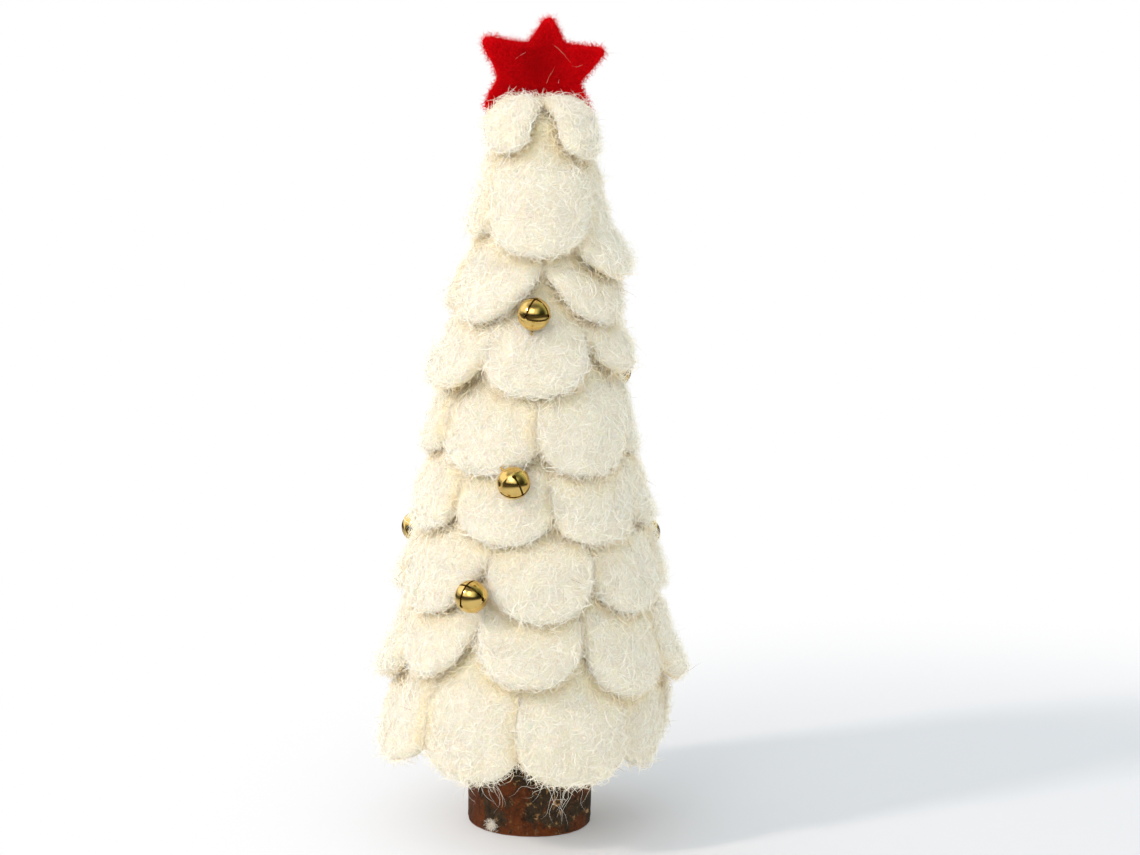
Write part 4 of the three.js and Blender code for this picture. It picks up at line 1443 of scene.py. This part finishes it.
# %% Long hairs
all_petals = [piece for pieces in petals.values() for piece in pieces]
hair_kinds = {
    "stray_hairs": {"Per Area": 20000.0, "Length": 6.5 * mm, "Width": 0.05 * mm, "Lean Low": 0.9,
                    "Lean High": 1.55, "Curl": 5 * mm, "Sag": 0.0, "Steps": 8, "Seed": 61,
                    "Attribute": "fluff"},
    "hanging_hairs": {"Per Area": 260000.0, "Length": 9.5 * mm, "Width": 0.06 * mm, "Lean Low": 0.6,
                      "Lean High": 1.55, "Curl": 18 * mm, "Sag": 4 * mm, "Steps": 18, "Seed": 62,
                      "Attribute": "hanging"},
}
for name, settings in hair_kinds.items():
    material = stray_hair if name == "stray_hairs" else white_hair
    piece = grown(name, all_petals, curly_hairs, material, settings)
    grown_pieces.append(piece)
    print(name, triangles([piece]))
star_hairs = grown("star_hairs", [felt_star], curly_hairs, stray_hair, {
    "Per Area": 14000.0, "Length": 8 * mm, "Width": 0.035 * mm, "Lean Low": 0.5, "Lean High": 1.5,
    "Curl": 5 * mm, "Sag": 0.0, "Steps": 12, "Seed": 63, "Attribute": "fluff"})
grown_pieces.append(star_hairs)
print("triangles in all the wool:", triangles(grown_pieces))

# %% [markdown]
# The branch is a ring grid: rings up the bark, and rings in to the middle on both sawn ends. Noise
# roughens the bark, and two slow waves make it a little out of round, as branches are. A tuft of
# white wool is caught at its foot, in front on the left.


# %% Trunk
tuft_place = np.array([-11.5, -14.6, 2.6]) * mm
tuft_radius = 1.1 * mm
worn_edge = 1.1 * mm
torn_rim = 1.6 * mm
ridge_size = 3.2 * mm
pit_size = 1.1 * mm


def make_trunk():
    low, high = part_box("trunk_log")
    radius = (high[0] - low[0]) / 2
    height = high[2] - low[2]
    turns, levels = 168, 44
    angles = around(turns)
    round_shape = 1.02 + 0.01 * np.cos(2 * angles + 0.3) + 0.008 * np.cos(3 * angles + 2.0)
    vertices, sawn, rim = [], [], []

    def ring(radius_here, z, on_end, at_rim, rough):
        for angle, shape in zip(angles, round_shape):
            r = radius_here * shape
            spot = Vector((r * math.cos(angle), r * math.sin(angle), z))
            bark = noise.noise(Vector((spot.x, spot.y, spot.z * 0.45)) / ridge_size) * 0.26
            bark += noise.noise(Vector((spot.x, spot.y, spot.z * 0.6)) / pit_size) * 0.1
            out = 1 + (bark - 0.3) * rough * mm / max(r, mm)
            vertices.append((spot.x * out, spot.y * out, z))
            sawn.append(on_end)
            rim.append(at_rim)

    inner = [0.15, 0.4, 0.65, 0.85]
    for share in inner:
        ring(radius * share, low[2], 1.0, 0.0, 0.0)
    ring(radius - worn_edge, low[2], 1.0, 1.0, 0.4)
    for share in np.linspace(0, 1, levels):
        z = low[2] + height * (0.5 - 0.5 * math.cos(math.pi * share))
        near = min(z - low[2], high[2] - z)
        tuck = 0.0
        if near < worn_edge:
            tuck = worn_edge * max(0.0, 1 - math.sqrt(max(0.0, near / worn_edge)))
        ring(radius - tuck, z, 0.0, max(0.0, 1 - near / torn_rim), 1.0)
    ring(radius - worn_edge, high[2], 1.0, 1.0, 0.4)
    for share in reversed(inner):
        ring(radius * share, high[2], 1.0, 0.0, 0.0)

    ring_count = len(vertices) // turns
    first, last = len(vertices), len(vertices) + 1
    vertices += [(0, 0, low[2]), (0, 0, high[2])]
    sawn += [1.0, 1.0]
    rim += [0.0, 0.0]
    faces = [(k * turns + i, k * turns + (i + 1) % turns, (k + 1) * turns + (i + 1) % turns,
              (k + 1) * turns + i) for k in range(ring_count - 1) for i in range(turns)]
    faces += [(first, (i + 1) % turns, i) for i in range(turns)]
    top = (ring_count - 1) * turns
    faces += [(last, top + i, top + (i + 1) % turns) for i in range(turns)]
    from_tuft = np.linalg.norm(np.array(vertices) - tuft_place, axis=1)
    fluff = np.exp(-((from_tuft / tuft_radius) ** 2))
    piece = new_piece("branch_trunk", vertices, faces, branch_finish,
                      {"sawn": sawn, "rim": rim, "fluff": fluff})
    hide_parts("trunk_log")
    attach(piece, "tree")
    return piece


trunk = make_trunk()
caught_wool = grown("caught_wool", [trunk], felt_fibres, white_hair, {
    "Per Area": 6e7, "Length": 1.5 * mm, "Width": 0.06 * mm, "Lean Low": 0.5, "Lean High": 1.6, "Seed": 64})
print("trunk size in mm:", in_mm(trunk.dimensions))

# %% [markdown]
# A jingle bell is two cups of sheet brass pressed together at a small seam. The lower cup has two
# crossed slots that end in round holes. The wall's profile, seam included, is turned once and the
# slots are cut from it. Bells hang with their slots turned differently, so there is a cut bell for
# each turn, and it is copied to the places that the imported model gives.

# %% Bell shape
bell_radius = 5 * mm
bell_wall = 0.4 * mm
cup_inset = 0.1 * mm
pole_inset = 0.05 * mm
seam_height = 0.16 * mm
seam_reach = 0.22 * mm
slot_width = 0.6 * mm
slot_end = 0.9 * mm
slot_hole_radius = 0.6 * mm
loop_radius = 0.95 * mm
loop_wire = 0.38 * mm
loop_centre = 5.65 * mm


def turned_wall():
    """A hollow ball with a seam round its middle. Its inner face points to the hollow."""
    outer, inner = [], []
    for j in range(49):
        turn = math.pi * j / 48
        z = bell_radius * math.cos(turn)
        seam = seam_height * math.exp(-((z / seam_reach) ** 2))
        outer.append(((bell_radius + seam - cup_inset) * math.sin(turn),
                      (bell_radius - pole_inset) * math.cos(turn)))
        inner.append(((bell_radius - bell_wall) * math.sin(turn), (bell_radius - bell_wall) * math.cos(turn)))
    shaped = bmesh.new()
    turns = 72
    for profile in (outer, inner):
        top = shaped.verts.new((0, 0, profile[0][1]))
        bottom = shaped.verts.new((0, 0, profile[-1][1]))
        rings = [[shaped.verts.new((r * math.cos(a), r * math.sin(a), z)) for a in around(turns)]
                 for r, z in profile[1:-1]]
        for i in range(turns):
            j = (i + 1) % turns
            shaped.faces.new((top, rings[0][i], rings[0][j]))
            shaped.faces.new((bottom, rings[-1][j], rings[-1][i]))
            for upper, lower in zip(rings, rings[1:]):
                shaped.faces.new((upper[i], lower[i], lower[j], upper[j]))
    bmesh.ops.recalc_face_normals(shaped, faces=shaped.faces)
    inner_faces = [f for f in shaped.faces if f.calc_center_median().length < bell_radius - bell_wall * 0.75]
    bmesh.ops.reverse_faces(shaped, faces=inner_faces)
    outer_faces = [f for f in shaped.faces if f not in set(inner_faces)]
    if outer_faces[0].normal.dot(outer_faces[0].calc_center_median()) < 0:
        bmesh.ops.reverse_faces(shaped, faces=shaped.faces)
    return mesh_from(shaped, "bell_wall")


def slot_cutter(spin):
    """Two crossed blades, each with a round bar along its end for the holes."""
    shaped = bmesh.new()
    reach = bell_radius * 1.2
    for turn in (math.pi / 4, -math.pi / 4):
        about = Matrix.Rotation(turn + spin, 4, "Z")
        size = Matrix.Diagonal((2 * reach, slot_width, reach - slot_end, 1))
        middle = Matrix.Translation((0, 0, (reach + slot_end) / 2))
        bmesh.ops.create_cube(shaped, size=1, matrix=about @ middle @ size)
        lying_bar = Matrix.Translation((0, 0, slot_end)) @ Matrix.Rotation(math.pi / 2, 4, "Y")
        bmesh.ops.create_cone(shaped, cap_ends=True, segments=20, radius1=slot_hole_radius,
                              radius2=slot_hole_radius, depth=2 * reach, matrix=about @ lying_bar)
    return mesh_from(shaped, "slot_cutter")


def wire_loop():
    """The wire loop behind the bell, with its hole along X."""
    shaped = bmesh.new()
    steps, sides = 40, 12
    rings = []
    for i in range(steps):
        a = 2 * math.pi * i / steps
        ring = []
        for j in range(sides):
            b = 2 * math.pi * j / sides
            r = loop_radius + loop_wire * math.cos(b)
            place = (loop_wire * math.sin(b), r * math.cos(a), -loop_centre + r * math.sin(a))
            ring.append(shaped.verts.new(place))
        rings.append(ring)
    for i in range(steps):
        for j in range(sides):
            a, b = rings[i], rings[(i + 1) % steps]
            shaped.faces.new((a[j], a[(j + 1) % sides], b[(j + 1) % sides], b[j]))
    bmesh.ops.recalc_face_normals(shaped, faces=shaped.faces)
    return mesh_from(shaped, "wire_loop")


def cut_bell(spin):
    """The whole bell: the wall with its slots cut and the loop added."""
    wall = put("bell_wall", turned_wall())
    cutter = put("slot_cutter", slot_cutter(spin))
    cut = wall.modifiers.new("cut", "BOOLEAN")
    cut.operation = "DIFFERENCE"
    cut.solver = "EXACT"
    cut.use_self = True
    cut.object = cutter
    bpy.context.view_layer.update()
    result = bpy.data.meshes.new_from_object(wall.evaluated_get(bpy.context.evaluated_depsgraph_get()))
    bpy.data.objects.remove(wall)
    bpy.data.objects.remove(cutter)
    shaped = bmesh.new()
    shaped.from_mesh(result)
    shaped.from_mesh(wire_loop())
    bmesh.ops.triangulate(shaped, faces=[f for f in shaped.faces if len(f.verts) > 4])
    return mesh_from(shaped, "bell")


bell_spins = {1: math.radians(19), 4: math.radians(19), 7: math.radians(28), 8: math.radians(28)}
bell_meshes = {spin: cut_bell(spin) for spin in {0.0, *bell_spins.values()}}
print("triangles in a bell:", sum(len(face.vertices) - 2 for face in bell_meshes[0.0].polygons))

# %% [markdown]
# Each bell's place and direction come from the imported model: its hinge runs through the loop's
# hole, and its ball lies straight below its centre.

# %% Place the bells and their balls
ball_rest = 2.1 * mm
sharp_angle = math.radians(40)
joints = {joint["name"]: joint for joint in frame["record"]["behaviour"]["joints"]}


def bell_frame(number):
    """The turn and shift that bring a bell from the origin to its place in the tree."""
    joint = joints[f"bell{number}_swing"]
    low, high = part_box(f"bell{number}_ball")
    centre = (Vector(low) + Vector(high)) / 2 + Vector((0, 0, ball_rest))
    loop = Vector(joint["pos_m"])
    face = (centre - loop).normalized()
    hinge = Vector(joint["axis"]).normalized()
    return Matrix.Translation(centre) @ Matrix([hinge, face.cross(hinge), face]).transposed().to_4x4()


for number in range(1, 9):
    mesh = bell_meshes[bell_spins.get(number, 0.0)].copy()
    mesh.transform(bell_frame(number))
    mesh.materials.clear()
    mesh.materials.append(brass_finish)
    smoothed(mesh)
    mesh.set_sharp_from_angle(angle=sharp_angle)
    bell = put(f"brass_bell{number}", mesh)
    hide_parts(f"bell{number}_shell")
    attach(bell, f"bell{number}")

    low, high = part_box(f"bell{number}_ball")
    shaped = bmesh.new()
    middle = Matrix.Translation((Vector(low) + Vector(high)) / 2)
    bmesh.ops.create_uvsphere(shaped, u_segments=28, v_segments=18, radius=(high[2] - low[2]) / 2,
                              matrix=middle)
    mesh = mesh_from(shaped, f"steel_ball{number}")
    smoothed(mesh)
    mesh.materials.append(steel_finish)
    ball = put(f"steel_ball{number}", mesh)
    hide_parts(f"bell{number}_ball")
    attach(ball, f"bell{number}_ball")

# %% [markdown]
# The foam cone, the dowel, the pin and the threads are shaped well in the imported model. They keep
# its shape and only get their finish.

# %% Finish the carried-over pieces
carried = {"foam_core": foam_finish, "trunk_dowel": wood_finish, "star_pin": wood_finish}
carried.update({f"bell{n}_thread": thread_finish for n in range(1, 9)})
for name, finish in carried.items():
    node = frame["nodes"][name]
    node.data.materials.clear()
    node.data.materials.append(finish)
print("carried over:", len(carried))

# %% [markdown]
# The finished tree's box is printed, as the packed model's box was at the start, so that the two
# sizes can be held against each other. Loose wool reaches a few millimetres past the packed model's.

# %% Size of the finished tree
visual_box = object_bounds()
print("box of the finished tree in mm:", [in_mm(corner) for corner in visual_box])
